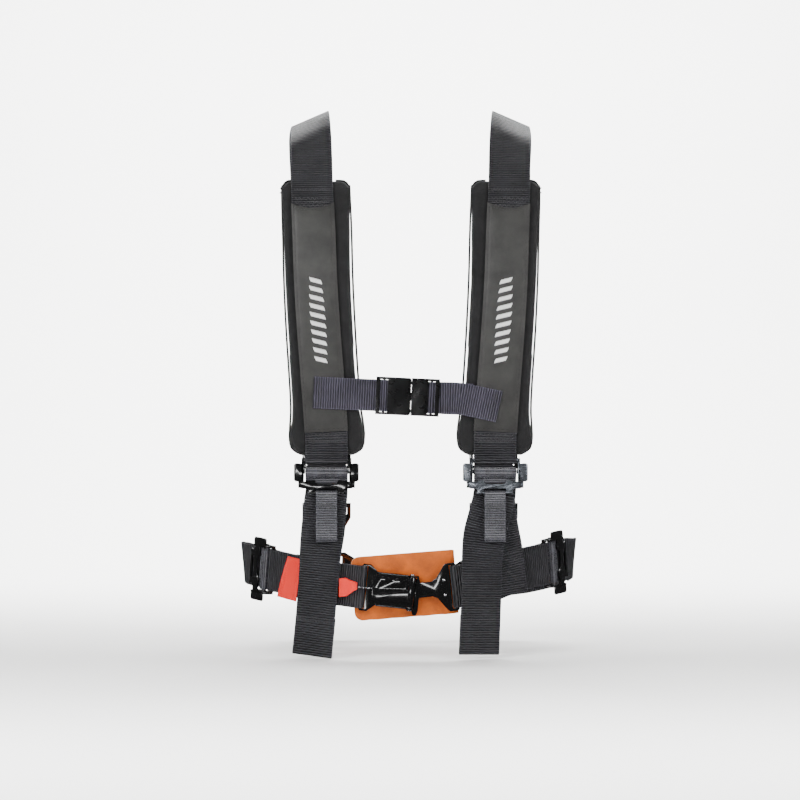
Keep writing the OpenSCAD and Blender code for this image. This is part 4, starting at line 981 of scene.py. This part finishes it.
class HARNESS_OT_shoulder_pads(bpy.types.Operator):
    """Makes the two foam pads, puffed between the cover's seams and bound round their edge"""

    bl_idname = "harness.shoulder_pads"
    bl_label = "Shoulder pads"

    def execute(self, context):
        look = context.scene.harness_look
        for name, side in SIDES.items():
            route = Route(pad_stations(), side == 0)
            long = route.length
            half = PAD_W / 2
            right = smooth([(24, 1.0), (half - 7, 2.0), (half - 1.6, 9), (half, 26), (half, long * 0.5),
                            (half, long * 0.8), (half + 2.6, long * 0.9), (half + 3.4, long - 20),
                            (half + 0.4, long - 6), (half - 11, long + 1), (22, long - 3)], 8)
            outline = right + [(-x, y) for x, y in reversed(right)]
            # a pad's upper end sits a little towards the neck
            outline = [(x - PAD_LEAN * (1 - min(1.0, max(0.0, y / long))), y) for x, y in outline]
            mid = -PAD_BACK - PAD_T / 2
            bm = bmesh.new()
            face = bm.faces.new([bm.verts.new((x, y, mid - FELT_SLAB)) for x, y in outline])
            top = [g for g in draw_out(bm, [face], (0, 0, 2 * FELT_SLAB)) if isinstance(g, bmesh.types.BMFace)]
            bmesh.ops.recalc_face_normals(bm, faces=bm.faces)
            bmesh.ops.inset_region(bm, faces=top, thickness=6, depth=2.6, use_even_offset=True)
            bmesh.ops.inset_region(bm, faces=[face], thickness=6, depth=2.6, use_even_offset=True)
            bm = puffed("pad_shell", bm, look.swell / MM)
            front, back = -PAD_BACK, -PAD_BACK - PAD_T
            for vert in bm.verts:
                x, y, z = vert.co
                if z > mid:
                    # held down under the webbing, and rising in a roll beside it
                    roll = min(1.0, max(0.0, (abs(x) - HELD_HALF) / 6))
                    z = min(z, front - 0.1 + 2.6 * math.sin(roll * math.pi / 2))
                    if abs(x) < HELD_HALF and 6 < y < long - 6:
                        z = max(z, front - 1.2)
                else:
                    z = max(z, back - 0.8)
                # soft creases that run in from the edge
                fold = noise.noise(Vector((x * 0.025 + 40 * side, y * 0.075, 2.0))) * 1.3
                fold += noise.noise(Vector((x * 0.09, y * 0.16 + 60 * side, 5.0))) * 0.5
                reach = min(1.0, max(0.0, (abs(x) - 27) / 8))
                vert.co = (x, y, z + fold * reach * (1 if z > mid else 0.6))
            bmesh.ops.smooth_vert(bm, verts=bm.verts, factor=0.35, use_axis_x=True, use_axis_y=True, use_axis_z=True)
            flat_map(bm)
            lay(bm, route)
            pad = piece(f"shoulder_cushion_{name}", bm, "felt", "harness", (f"shoulder_pad_{name}",), 180)
            finer = pad.modifiers.new("finer", "SUBSURF")
            finer.levels = finer.render_levels = 1

            # binding tape round the edge
            bm = bmesh.new()
            edge = Route([(x, y, mid + 0.4, 0, 0, 1) for x, y in outline])
            flat_bar(bm, oval(*BINDING, 12), edge.marks(0, edge.length, 5.0))
            lay(bm, edge)
            lay(bm, route)
            piece(f"pad_binding_{name}", bm, "felt", "harness", (), 60)
        return {"FINISHED"}


class HARNESS_OT_pad_covers(bpy.types.Operator):
    """Makes the leatherette covers, their stitching and a plain embroidered motif"""

    bl_idname = "harness.pad_covers"
    bl_label = "Pad covers"

    def execute(self, context):
        look = context.scene.harness_look
        pitch, thread = look.cover_stitch / MM, look.thread / MM + 0.1
        half = COVER_W / 2
        line = half - 2.8
        base = WEB_T / 2 + 0.25
        for name, side in SIDES.items():
            route = Route(cover_stations(), side == 0)
            long = route.length

            def crown(x, y):
                """The cover's outer face: full in the middle and drawn down along its seams."""
                full = 0.9 * max(0.0, 1 - (x / line) ** 4)
                crease = noise.noise(Vector((x * 0.035, y * 0.045 + 30 * side, 1.0))) * 0.7
                end = min(1.0, min(y, long - y) / 14)
                dip = 0.45 * math.exp(-(((abs(x) - line) / 0.9) ** 2))
                return base + COVER_T * 0.75 + max(0.0, full + crease * full) * max(end, 0.0) - dip

            bm = bmesh.new()
            bmesh.ops.create_grid(bm, x_segments=34, y_segments=round(long / 5), size=0.5)
            bmesh.ops.scale(bm, vec=(COVER_W, long, 1), verts=bm.verts)
            bmesh.ops.translate(bm, vec=(0, long / 2, 0), verts=bm.verts)
            flat_map(bm)
            lower = {g for g in draw_out(bm, list(bm.faces), (0, 0, 0)) if isinstance(g, bmesh.types.BMVert)}
            for vert in bm.verts:
                x, y, _ = vert.co
                rim = min(1.0, (half - abs(x)) / 1.2) ** 0.5 if abs(x) < half else 0.0
                z = base if vert in lower else base + (crown(x, y) - base) * (0.55 + 0.45 * rim)
                arch = 7 * (1 - (x / half) ** 2) * max(0.0, 1 - y / 40)
                vert.co = (x, y + arch, z)
            lay(bm, route)
            piece(f"cover_panel_{name}", bm, "vinyl", "harness", (f"pad_cover_{name}",), 60)

            bm = bmesh.new()
            seam(bm, [(-line, 4), (-line, long - 3.2)], crown, pitch, thread, 0.72)
            seam(bm, [(line, 4), (line, long - 3.2)], crown, pitch, thread, 0.72)
            seam(bm, [(-line, long - 3.2), (line, long - 3.2)], crown, pitch, thread, 0.72)
            arch = [(x, 3.4 + 7 * (1 - (x / half) ** 2) * 0.9) for x in [line * k / 6 for k in range(-6, 7)]]
            seam(bm, arch, crown, 99, thread, 0.72)
            sewn(f"cover_stitching_{name}", bm, route, "harness", "dark thread")

            # plain motif: slanted satin-stitched bars, each of many threads side by side
            bm = bmesh.new()
            first = route.along_at(MOTIF_TOP)
            for k in range(MOTIF_BARS):
                y = first + k * MOTIF_STEP
                wide = 6.5 + 2.2 * math.sin(math.pi * (k + 0.5) / MOTIF_BARS)
                for j in range(MOTIF_THREADS):
                    x = -wide + (2 * wide) * (j + 0.5) / MOTIF_THREADS
                    spot = y + 3.2 - x * 0.32
                    stitch(bm, x, spot, crown(x, spot) + 0.25, 0.35, 7.0, 2 * wide / MOTIF_THREADS * 1.25)
            sewn(f"embroidered_bars_{name}", bm, route, "harness", "white thread")
        return {"FINISHED"}


def adjuster_parts():
    """The pressed frame's softened parts, in the adjuster's own axes: x across, -y out, z up to the fixed bar."""
    half = INNER_A + 6.8
    top = FIXED_B + BAR_R
    wing = smooth([(half, -6), (half + 0.4, -3.2), (half - 1.5, -2.2), (half - 6, -4.2), (21, -3.6), (16.5, -2.4),
                   (13.6, -3.2), (12.6, -5.6), (11.2, -7.2)], 5)
    leg = smooth([(half - 0.4, -9.6), (half - 3, -12.2), (27, -12.6), (22.6, -13.2), (21.2, -15.5), (22, -18.6),
                  (20.4, -19.6), (17.6, -19.3)], 5)
    side_line = [(0, -7.4)] + wing[::-1] + leg
    right = side_line + [(15.4, -18.6), (13.4, -17.6), (13.3, -12.8), (0, -12.6)]
    loop = right + [(-x, z) for x, z in reversed(right) if x > 0]

    def deck(bm):
        plate(bm, loop, -FRAME_T / 2, FRAME_T / 2)

    def flange(bm, s):
        outline = [(-2, -5), (-2, top - 1), (-1, top), (4, top), (FLANGE_H - 1, top - 4.6), (FLANGE_H, top - 6),
                   (FLANGE_H, -4), (5, -5)]
        verts = [bm.verts.new((s * INNER_A, -n, b)) for n, b in outline]
        slot = [bm.verts.new((s * INNER_A, -n, b)) for n, b in
                arc(0, SLIDE_B + 3, 3.05, 0, 180, 10) + arc(0, SLIDE_B, 3.05, 180, 360, 10)]
        edges = [bm.edges.new((ring[i - 1], ring[i])) for ring in (verts, slot) for i in range(len(ring))]
        faces = [g for g in bmesh.ops.triangle_fill(bm, use_beauty=True, edges=edges)["geom"]
                 if isinstance(g, bmesh.types.BMFace)]
        draw_out(bm, faces, (s * FRAME_T, 0, 0))

    def lip(bm, s):
        low, high = INNER_A + 0.3, INNER_A + FRAME_T + 9
        outline = [(s * x, z) for x, z in smooth(
            [(low, -3.4), (high - 3.4, -4), (high - 0.6, -2.6), (high, 0), (high, 14), (high - 0.6, 16.8),
             (high - 3.4, 18), (low, 17)], 4)]
        plate(bm, outline, FLANGE_H - FRAME_T, FLANGE_H)

    def roll(bm, s):
        x = s * (INNER_A + FRAME_T + 7.6)
        rod(bm, (x, 1.3 - FLANGE_H, -2.6), (x, 1.3 - FLANGE_H, 16.6), 1.5, 24)

    def horn(bm, s):
        outline = [(0.2, -12), (4, -11), (4.6, -8), (4.2, -3.4), (3, -2.4), (0.2, -3)]
        face = bm.faces.new([bm.verts.new((s * (half - FRAME_T), -n, b)) for n, b in outline])
        draw_out(bm, [face], (s * FRAME_T, 0, 0))

    parts = [softened(deck, 0.6, 3)]
    for s in (-1, 1):
        parts += [softened(lambda bm: flange(bm, s), 0.5), softened(lambda bm: lip(bm, s), 0.8, 3),
                  softened(lambda bm: roll(bm, s), 0.5, 3),
                  softened(lambda bm: horn(bm, s), 0.7, 3)]
    bm = bmesh.new()
    rod(bm, (-INNER_A - 0.5, 0, FIXED_B), (INNER_A + 0.5, 0, FIXED_B), BAR_R, 40)
    rod(bm, (-21, 0, TAB_BAR_B), (21, 0, TAB_BAR_B), 1.5, 24)
    parts.append(bm)
    return joined(parts)


def knurled_bar():
    """The slide bar: diamond ridges along its grip, plain turned ends."""
    end = INNER_A + FRAME_T + 0.8
    bm = bmesh.new()
    sides = 48
    ring = [(math.cos(a) * (BAR_R - (0.0 if k % 2 else 0.22)), math.sin(a) * (BAR_R - (0.0 if k % 2 else 0.22)))
            for k, a in ((k, 2 * math.pi * k / sides) for k in range(sides))]
    marks = [-INNER_A + 1.2 + k * 1.3 for k in range(40)]
    flat_bar(bm, ring, marks)
    for vert in bm.verts:
        turn = 2 * math.pi / sides * round((vert.co.y - marks[0]) / 1.3)
        x, z = vert.co.x, vert.co.z
        vert.co = (vert.co.y, x * math.sin(turn) + z * math.cos(turn), x * math.cos(turn) - z * math.sin(turn))
    ends = bmesh.new()
    for s in (-1, 1):
        rod(ends, (s * (INNER_A - 1.4), 0, 0), (s * end, 0, 0), BAR_R, 32)
    bmesh.ops.recalc_face_normals(ends, faces=ends.faces)
    soften(ends, 0.4)
    bm = joined([bm, ends])
    bmesh.ops.translate(bm, vec=(0, 0, SLIDE_B), verts=bm.verts)
    return bm


class HARNESS_OT_adjusters(bpy.types.Operator):
    """Makes the four tilt-lock adjusters with their knurled bars, the webbing rolled on them and the pull tabs"""

    bl_idname = "harness.adjusters"
    bl_label = "Adjusters and pull tabs"

    def execute(self, context):
        thread = context.scene.harness_look.thread / MM
        for name, side in SIDES.items():
            flip = side == 0
            for kind, place in (("", Matrix.Translation(ADJUSTER)), ("lap_", lap_matrix(side))):
                body = f"{kind}adjuster_{name}"
                bar_body = f"lap_bar_{name}" if kind else f"adjuster_bar_{name}"
                bm = adjuster_parts()
                settle(bm, place, side)
                coat = "enamel" if (kind or flip) else "black chrome"
                piece(f"{kind}adjuster_plate_{name}", bm, coat, body,
                      (f"lap_frame_{name}" if kind else f"adjuster_frame_{name}",), 30)
                bm = knurled_bar()
                settle(bm, place, side)
                piece(f"{kind}knurled_bar_{name}", bm, "knurled", bar_body, (bar_body,), 30)
                stations = [at_lap(side, *q) if kind else at_adjuster(*q) for q in WRAP]
                route = Route(stations, flip)
                # the roll on the bar takes the tab finish, with its painted sheen
                ribbon(f"{kind}bar_roll_{name}", route, bar_body, "webbing",
                       (f"lap_bar_webbing_{name}" if kind else f"bar_webbing_{name}",), look="tab", step=2.5)
            route = Route(tab_stations(), flip)
            ribbon(f"pull_tab_webbing_{name}", route, f"pull_tab_{name}", "webbing", (f"pull_tab_{name}",),
                   look="tab", width=TAB_W, thick=THIN_T, step=3.0)
            bm = bmesh.new()
            face = route.along_at(ADJUSTER[2] + TAB_BAR_B - 9, 24)
            for k in (4.5, 8):
                bar_tack(bm, -11, 11, face + k, THIN_T / 2 + 0.15, 3.2, 1.6, thread)
            sewn(f"pull_tab_stitching_{name}", bm, route, f"pull_tab_{name}")
        return {"FINISHED"}


class HARNESS_OT_lap_belt(bpy.types.Operator):
    """Makes the lap belt's webbing front and rear, its free tails and the red patch and tab"""

    bl_idname = "harness.lap_belt"
    bl_label = "Lap belt"

    def execute(self, context):
        thread = context.scene.harness_look.thread / MM
        top = WEB_T / 2 + 0.18
        for name, side in SIDES.items():
            flip = side == 0
            front = lap_curve(side)
            lead = [] if side else smooth(
                [(98, -117.6, 7.6, -0.08, 0, 1), (82, -122.8, 6, -0.1, 0, 1), moved(LATCH_LOOP[0], 5, -0.6, 0.4)], 6
            ) + LATCH_LOOP
            route = Route(lead + front + lap_end(side), flip)
            ribbon(f"lap_webbing_{name}", route, "harness", "webbing", (f"lap_strap_{name}",))
            route = Route(rear_belt_stations(side), flip)
            ribbon(f"rear_belt_webbing_{name}", route, "harness", "webbing", (f"lap_rear_strap_{name}",))
            bm = bmesh.new()
            box_seam(bm, 21, route.length - 44, route.length - 8, -top, thread=thread)
            sewn(f"rear_belt_stitching_{name}", bm, route, "harness")
            route = Route(lap_tail_stations(side), flip)
            ribbon(f"lap_tail_webbing_{name}", route, "harness", "webbing", (f"lap_tail_{name}",))
            bm = bmesh.new()
            seam(bm, [(-23, route.length - 30), (23, route.length - 30)], top, thread=thread)
            sewn(f"lap_tail_stitching_{name}", bm, route, "harness")

        # the patch hangs a little below the belt that it is sewn to
        whole = Route(lap_curve(0))
        patch = slice(15 * FINE // 4, 21 * FINE // 4 + 1)
        lowered = [tuple(a - wide * 4) + tuple(wide) for a, wide in zip(whole.places[patch], whole.widths[patch])]
        route = Route(lowered, True)
        long = route.length

        def slanted(co):
            return Vector((co.x, co.y - 9 * (co.x / WEB_W + 0.5) * min(1.0, co.y / long), co.z))

        ribbon("red_patch_webbing", route, "harness", "red_webbing", ("red_patch",), look="red", width=WEB_W + 1,
               off=LAY + 0.5, shape=slanted, step=3.0)
        bm = bmesh.new()
        out = LAY + 0.5 + top
        for y in (3, 5.6):
            seam(bm, [(-24, y), (24, y)], out, 3.0, thread)
        for y in (long - 5.6, long - 3):
            seam(bm, [(-24, y), (24, y - 8.6)], out, 3.0, thread)
        seam(bm, [(-23.4, 3), (-23.4, long - 3)], out, 3.0, thread)
        seam(bm, [(23.4, 3), (23.4, long - 12)], out, 3.0, thread)
        sewn("red_patch_stitching", bm, route, "harness", "red thread")

        route = Route(smooth([(-86, -132.8, 3, 0, 0, 1), (-80, -133.6, 3, 0, 0, 1), (-74, -134.6, 3.4, 0, 0, 1),
                              (-68, -136, 4.2, 0, 0, 1), (-64.6, -136.6, 4.2, 0, 0, 1)], 6))
        long = route.length

        def taper(co):
            t = min(1.0, max(0.0, co.y / long))
            wide = 1.06 - 0.66 * (max(0.0, t - 0.42) / 0.58) ** 0.8
            thick = 1 + 0.7 * t
            wave = 0.5 * math.sin(co.x * 0.9) * (0.3 + t) if abs(co.x) < 10 else 0.0
            return Vector((co.x * wide + 1.2 * math.sin(t * 2.2), co.y, co.z * thick + wave))

        ribbon("red_tab_webbing", route, "lever", "red_webbing", ("red_pull_tab",), look="red", width=21, thick=2.6,
               off=0.0, shape=taper, step=1.5)
        bm = bmesh.new()
        for x0, x1 in ((-3.4, 3.4), (3.4, -3.4)):
            for shift in (-0.6, 0.0, 0.6):
                seam(bm, [(x0 + shift, 5.2), (x1 + shift, 9.6)], -2.15, 1.6, thread + 0.2, 1.1)
        sewn("red_tab_cross", bm, route, "lever")
        return {"FINISHED"}


class HARNESS_OT_buckle(bpy.types.Operator):
    """Makes the latch, its lever, pin, spring and wire, and the link with its rivets"""

    bl_idname = "harness.buckle"
    bl_label = "Lap buckle"

    def execute(self, context):
        rounded_node("latch_plate", 0.45, "enamel", "harness")
        rounded_node("latch_lever", 0.45, "enamel", "lever")
        rounded_node("lever_pin", 0.35, "steel", "harness")
        rounded_node("link", 0.5, "enamel", "link", 3)

        # torsion spring: a close coil of wire on the pin, with a leg under the lever
        pin = (26.0, 11.0, 10.0)
        bm = bmesh.new()
        turns = [(pin[0] + 3.05 * math.cos(a), pin[1] + 3.05 * math.sin(a), pin[2] - 2.3 + 5.2 * a / (8 * math.pi))
                 for a in (8 * math.pi * k / 96 - math.pi / 2 for k in range(97))]
        turns = [(pin[0] - 13.5, pin[1] - 3.05, pin[2] - 2.6), (pin[0] - 4, pin[1] - 3.05, pin[2] - 2.6)] + turns
        route = Route([(x, -n, z, 0.02, 0.01, 1) for x, n, z in turns])
        flat_bar(bm, oval(0.5, 0.5, 8), route.marks(0, route.length, 1.2))
        lay(bm, route)
        bmesh.ops.transform(bm, matrix=LATCH_PLACE, verts=bm.verts)
        piece("lever_coil_spring", bm, "steel", "harness", ("lever_spring",), 60)

        # the wire that joins the red tab to the lever
        bm = bmesh.new()
        line = smooth([(-19, 10.8, 0), (-24, 10.6, 0.3), (-30, 10.5, -0.2), (-36, 10.6, 0.1), (-38.2, 10.6, 0)], 6)
        route = Route([(x, -n, z, 0, 0, 1) for x, n, z in line])
        flat_bar(bm, oval(0.9, 0.9, 12), route.marks(0, route.length, 1.5))
        lay(bm, route)
        bmesh.ops.transform(bm, matrix=LATCH_PLACE, verts=bm.verts)
        piece("lever_pull_wire", bm, "steel", "lever", ("lever_wire",), 60)

        bm = bmesh.new()
        for z in (-9, 9):
            made = bmesh.ops.create_uvsphere(bm, u_segments=24, v_segments=12, radius=2.1)["verts"]
            bmesh.ops.scale(bm, vec=(1, 0.65, 1), verts=made)
            bmesh.ops.translate(bm, vec=(21, -3.0, z), verts=made)
        bmesh.ops.transform(bm, matrix=LINK_PLACE, verts=bm.verts)
        piece("link_dome_rivets", bm, "steel", "link", ("link_rivets",), 60)

        # one length from the link's loop to the belt
        bar_n = 1.5
        loop_r = math.hypot(5.5, 3) / 2 + 0.25 + WEB_T / 2
        loop = (
            smooth([(LINK_END + 12, bar_n - LAY / 2 - 1.2), (LINK_END + 6, bar_n - LAY / 2 - 1.8)], 3)
            + [(LINK_END - 2.75 + x, bar_n + n) for x, n in arc(0, 0, loop_r, 260, 100, 14)]
            + smooth([(LINK_END + 6, bar_n + LAY / 2 - 0.2), (LINK_END + 12, bar_n + LAY / 2 - 1.2)], 3)
        )
        stations = in_place(LINK_PLACE, [(x, n) for x, n in loop])
        meet = Route(lap_curve(1))
        first = tuple(meet.places[0] - meet.ways[0] * 0.4) + tuple(meet.widths[0])
        leave = stations[-1]
        stations = stations + smooth([leave, first], 6)[1:]
        route = Route(stations)
        belt = ribbon("link_belt_webbing", route, None, "webbing", ("link_webbing",), step=2.5)
        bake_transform(belt)
        return {"FINISHED"}


class HARNESS_OT_leather_pad(bpy.types.Operator):
    """Makes the tan leather pad, with its cut edge"""

    bl_idname = "harness.leather_pad"
    bl_label = "Leather pad"

    def execute(self, context):
        long, tall, thick, r = LEATHER_HALF_W, LEATHER_HALF_H, LEATHER_T, LEATHER_R
        bm = bmesh.new()
        low = [(-long + r + (2 * long - r) * k / 14, -tall + 0.3 * math.sin(k * 1.9)) for k in range(15)]
        low[0], low[-1] = (-long + r, -tall), (long, -tall + 0.4)
        left_low = arc(-long + r, -tall + r, r, 180, 270, 8)[:-1]
        left_high = arc(-long + r, tall - r, r, 90, 180, 8)
        outline = low + [(long, tall - 1), (long - 2, tall)] + left_high + left_low
        plate(bm, outline, 0, thick)
        bmesh.ops.recalc_face_normals(bm, faces=bm.faces)
        for face in bm.faces:
            face.material_index = 0 if abs(face.normal.y) > 0.5 else 1
        rim = [e for e in bm.edges if len(e.link_faces) == 2 and e.calc_face_angle(0.0) > 1.2
               and any(abs(f.normal.y) > 0.5 for f in e.link_faces)]
        bmesh.ops.bevel(bm, geom=rim, offset=0.45, offset_type="OFFSET", segments=2, profile=0.5, affect="EDGES",
                        material=1, clamp_overlap=True)
        big = [f for f in bm.faces if abs(f.normal.y) > 0.9 and len(f.verts) > 6]
        bmesh.ops.triangulate(bm, faces=big, quad_method="BEAUTY", ngon_method="BEAUTY")
        inner = [e for e in bm.edges if all(abs(f.normal.y) > 0.9 for f in e.link_faces)]
        bmesh.ops.subdivide_edges(bm, edges=inner, cuts=3, use_grid_fill=True)
        for vert in bm.verts:
            x, y, z = vert.co
            inside = min(1.0, max(0.0, (min(long - abs(x), tall - abs(z))) / 12))
            wave = math.sin(x * 0.06 + 1) + noise.noise(Vector((x * 0.05, 0, z * 0.05)))
            vert.co.y += wave * 0.3 - 0.3 * inside
        place = (Matrix.Translation((-7.6, -126 + LATCH_LOOP_R + WEB_T / 2 + 0.7 - 1.25 + thick, 5))
                 @ Matrix.Rotation(-math.radians(4.5), 4, "Y"))
        bmesh.ops.transform(bm, matrix=place, verts=bm.verts)
        piece("leather_backing", bm, "leather", "harness", ("leather_pad",), 50, ("raw leather",))
        return {"FINISHED"}


class HARNESS_OT_chest_strap(bpy.types.Operator):
    """Makes the chest webbing with its sewn ends, and the side-release buckle"""

    bl_idname = "harness.chest_strap"
    bl_label = "Chest strap"

    def execute(self, context):
        thread = context.scene.harness_look.thread / MM
        how = {"look": "chest", "width": CHEST_W, "thick": THIN_T, "step": 4.0}
        top = THIN_T / 2 + 0.15
        left = in_place(CHEST_PLACE, smooth([(-71, -1.6), (-60, -1.6), (-48, -2.2), (-LADDER_X - 1, -LOOP_R)], 6))
        ribbon("chest_layer_left", Route(left), "harness", "chest_webbing", ("chest_strap_left",), **how)
        tail = [(-LADDER_X + LOOP_SLACK * x, LOOP_R * n) for x, n in arc(0, 0, 1, 270, 450, 14)]
        tail += smooth([(-LADDER_X - 5, LOOP_R), (-60, 2.2), (-80, 2.6), (-113, 2.8)], 6)
        route = Route(in_place(CHEST_PLACE, tail))
        ribbon("chest_tail_webbing_left", route, "harness", "chest_webbing", ("chest_tail_left",), **how)
        bm = bmesh.new()
        for y in (6, 9):
            seam(bm, [(-17, route.length - y), (17, route.length - y)], -top, 2.8, thread)
        sewn("chest_stitching_left", bm, route, "harness")

        tail = [(LADDER_X + LOOP_SLACK * x, LOOP_R * n, 0) for x, n in arc(0, 0, 1, 270, 90, 14)]
        flat = tail + smooth([(LADDER_X + 5, LOOP_R, 0, 0.07, 0, 1), (60, 2.2, 0.6, 0.07, 0, 1),
                              (86, 2.6, -3, 0.07, 0, 1), (110, 2.8, -7, 0.07, 0, 1)], 6)
        route = Route(in_place(CHEST_PLACE, flat))
        ribbon("chest_tail_webbing_right", route, "chest_plug", "chest_webbing", ("chest_tail_right",), **how)
        bm = bmesh.new()
        for y in (6, 9):
            seam(bm, [(-17, route.length - y), (17, route.length - y)], top, 2.8, thread)
        sewn("chest_stitching_right", bm, route, "chest_plug")
        # the under layer from the buckle to the pad
        flat = smooth([(LADDER_X + 1, -LOOP_R), (48, -2.0), (63, -1.8), (78, -1.6)], 8)
        route = Route(in_place(CHEST_PLACE, flat))
        under = ribbon("chest_layer_right", route, None, "chest_webbing", ("chest_strap_right",), **how)
        near, far = ([v * MM for v in route.place((0, along, 0))] for along in (4, 30))
        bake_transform(under)
        for node in ("chest_buckle_socket", "chest_buckle_plug"):
            body = "harness" if node.endswith("socket") else "chest_plug"
            rounded_node(node, 0.6, "plastic", body, 3)
        for part in ("upper", "lower"):
            rounded_node(f"buckle_arm_{part}", 0.5, "plastic", f"arm_{part}")
        return {"FINISHED"}


class HARNESS_OT_rear_hardware(bpy.types.Operator):
    """Finishes the rear slides and the four anchor brackets"""

    bl_idname = "harness.rear_hardware"
    bl_label = "Slides and anchors"

    def execute(self, context):
        for name in SIDES:
            rounded_node(f"rear_slide_{name}", 0.5, "enamel", "harness")
            rounded_node(f"shoulder_anchor_{name}", 0.5, "enamel", f"shoulder_anchor_{name}")
            rounded_node(f"lap_anchor_{name}", 0.5, "enamel", f"lap_anchor_{name}")
        return {"FINISHED"}


# each light's name, its place, what it is aimed at, width, height, watts and spread in degrees
MIDDLE = (0, -0.1, 0.2)
LIGHTS = [
    ("key", (-1.5, -2.2, 1.7), MIDDLE, 1.2, 1.2, 75, 180),
    ("fill", (1.9, -2.0, 1.1), MIDDLE, 1.0, 1.4, 45, 180),
    ("low", (-0.6, -2.6, -0.02), MIDDLE, 1.0, 0.1, 6, 180),
    ("wall", (0.0, 0.9, 1.4), (0, 2.2, 0.5), 3.2, 0.5, 175, 180),
    ("ground", (0.0, 0.95, 1.3), (0, 0.95, 0), 2.6, 0.5, 50, 180),
    ("front", (0.0, -1.0, 1.3), (0, -1.0, 0), 2.6, 0.4, 26, 70),
]


class HARNESS_OT_studio(bpy.types.Operator):
    """Sets up the pale floor and backdrop, the soft lights and the camera"""

    bl_idname = "harness.studio"
    bl_label = "Studio"

    def execute(self, context):
        scene = context.scene
        low = cad_box[0].z - 0.002
        bm = bmesh.new()
        profile = [(-4.0, 0.0), (1.2, 0.0)] + arc(1.2, 1.0, 1.0, -90, 0, 16)[1:] + [(2.2, 5.0)]
        verts = [bm.verts.new((-5, y, low + z)) for y, z in profile]
        edges = [bm.edges.new(pair) for pair in zip(verts, verts[1:])]
        made = bmesh.ops.extrude_edge_only(bm, edges=edges)["geom"]
        bmesh.ops.translate(bm, vec=(10, 0, 0), verts=[g for g in made if isinstance(g, bmesh.types.BMVert)])
        for face in bm.faces:
            face.normal_update()
        if sum(f.normal.z - f.normal.y for f in bm.faces) < 0:
            bmesh.ops.reverse_faces(bm, faces=bm.faces)
        mesh = bpy.data.meshes.new("studio_floor")
        bm.to_mesh(mesh)
        bm.free()
        mesh.shade_smooth()
        floor = bpy.data.objects.new("studio_floor", mesh)
        scene.collection.objects.link(floor)
        mesh.materials.append(finish("floor"))
        # black gloss would mirror the pale floor
        floor.visible_glossy = False

        world = bpy.data.worlds.new("studio")
        scene.world = world
        world.use_nodes = True
        world.node_tree.nodes["Background"].inputs[0].default_value = colour("#ffffff")
        world.node_tree.nodes["Background"].inputs[1].default_value = 0.1
        for name, spot, aim, wide, tall, power, spread in LIGHTS:
            data = bpy.data.lights.new(name, "AREA")
            data.shape, data.size, data.size_y, data.energy = "RECTANGLE", wide, tall, power
            data.spread = math.radians(spread)
            lamp = bpy.data.objects.new(name, data)
            scene.collection.objects.link(lamp)
            lamp.location = spot
            lamp.rotation_mode = "QUATERNION"
            lamp.rotation_quaternion = (Vector(aim) - Vector(spot)).to_track_quat("-Z", "Y")
        data = bpy.data.cameras.new("camera")
        data.sensor_width, data.lens, data.clip_start, data.clip_end = 36, 112.5, 0.1, 30
        camera = bpy.data.objects.new("camera", data)
        scene.collection.objects.link(camera)
        camera.location = (-0.013, -3.13, 0.228)
        camera.rotation_euler = (math.pi / 2, 0, 0)
        scene.camera = camera
        return {"FINISHED"}


class HARNESS_PT_panel(bpy.types.Panel):
    """Lists the harness's sizes and makers"""

    bl_label = "Racing harness"
    bl_idname = "HARNESS_PT_panel"
    bl_space_type = "VIEW_3D"
    bl_region_type = "UI"
    bl_category = "Harness"

    def draw(self, context):
        look = context.scene.harness_look
        for key in look.__annotations__:
            self.layout.prop(look, key)
        for maker in MAKERS:
            self.layout.operator(maker.bl_idname)


MAKERS = (HARNESS_OT_studio, HARNESS_OT_shoulder_webbing, HARNESS_OT_shoulder_pads, HARNESS_OT_pad_covers,
          HARNESS_OT_adjusters, HARNESS_OT_lap_belt, HARNESS_OT_buckle, HARNESS_OT_leather_pad,
          HARNESS_OT_chest_strap, HARNESS_OT_rear_hardware)
CLASSES = (HarnessLook, *MAKERS, HARNESS_PT_panel)


def register():
    for kind in CLASSES:
        bpy.utils.register_class(kind)
    bpy.types.Scene.harness_look = bpy.props.PointerProperty(type=HarnessLook)


def unregister():
    del bpy.types.Scene.harness_look
    for kind in reversed(CLASSES):
        bpy.utils.unregister_class(kind)


def main():
    register()
    for maker in MAKERS:
        group, name = maker.bl_idname.split(".")
        getattr(getattr(bpy.ops, group), name)()


if __name__ == "__main__":
    main()
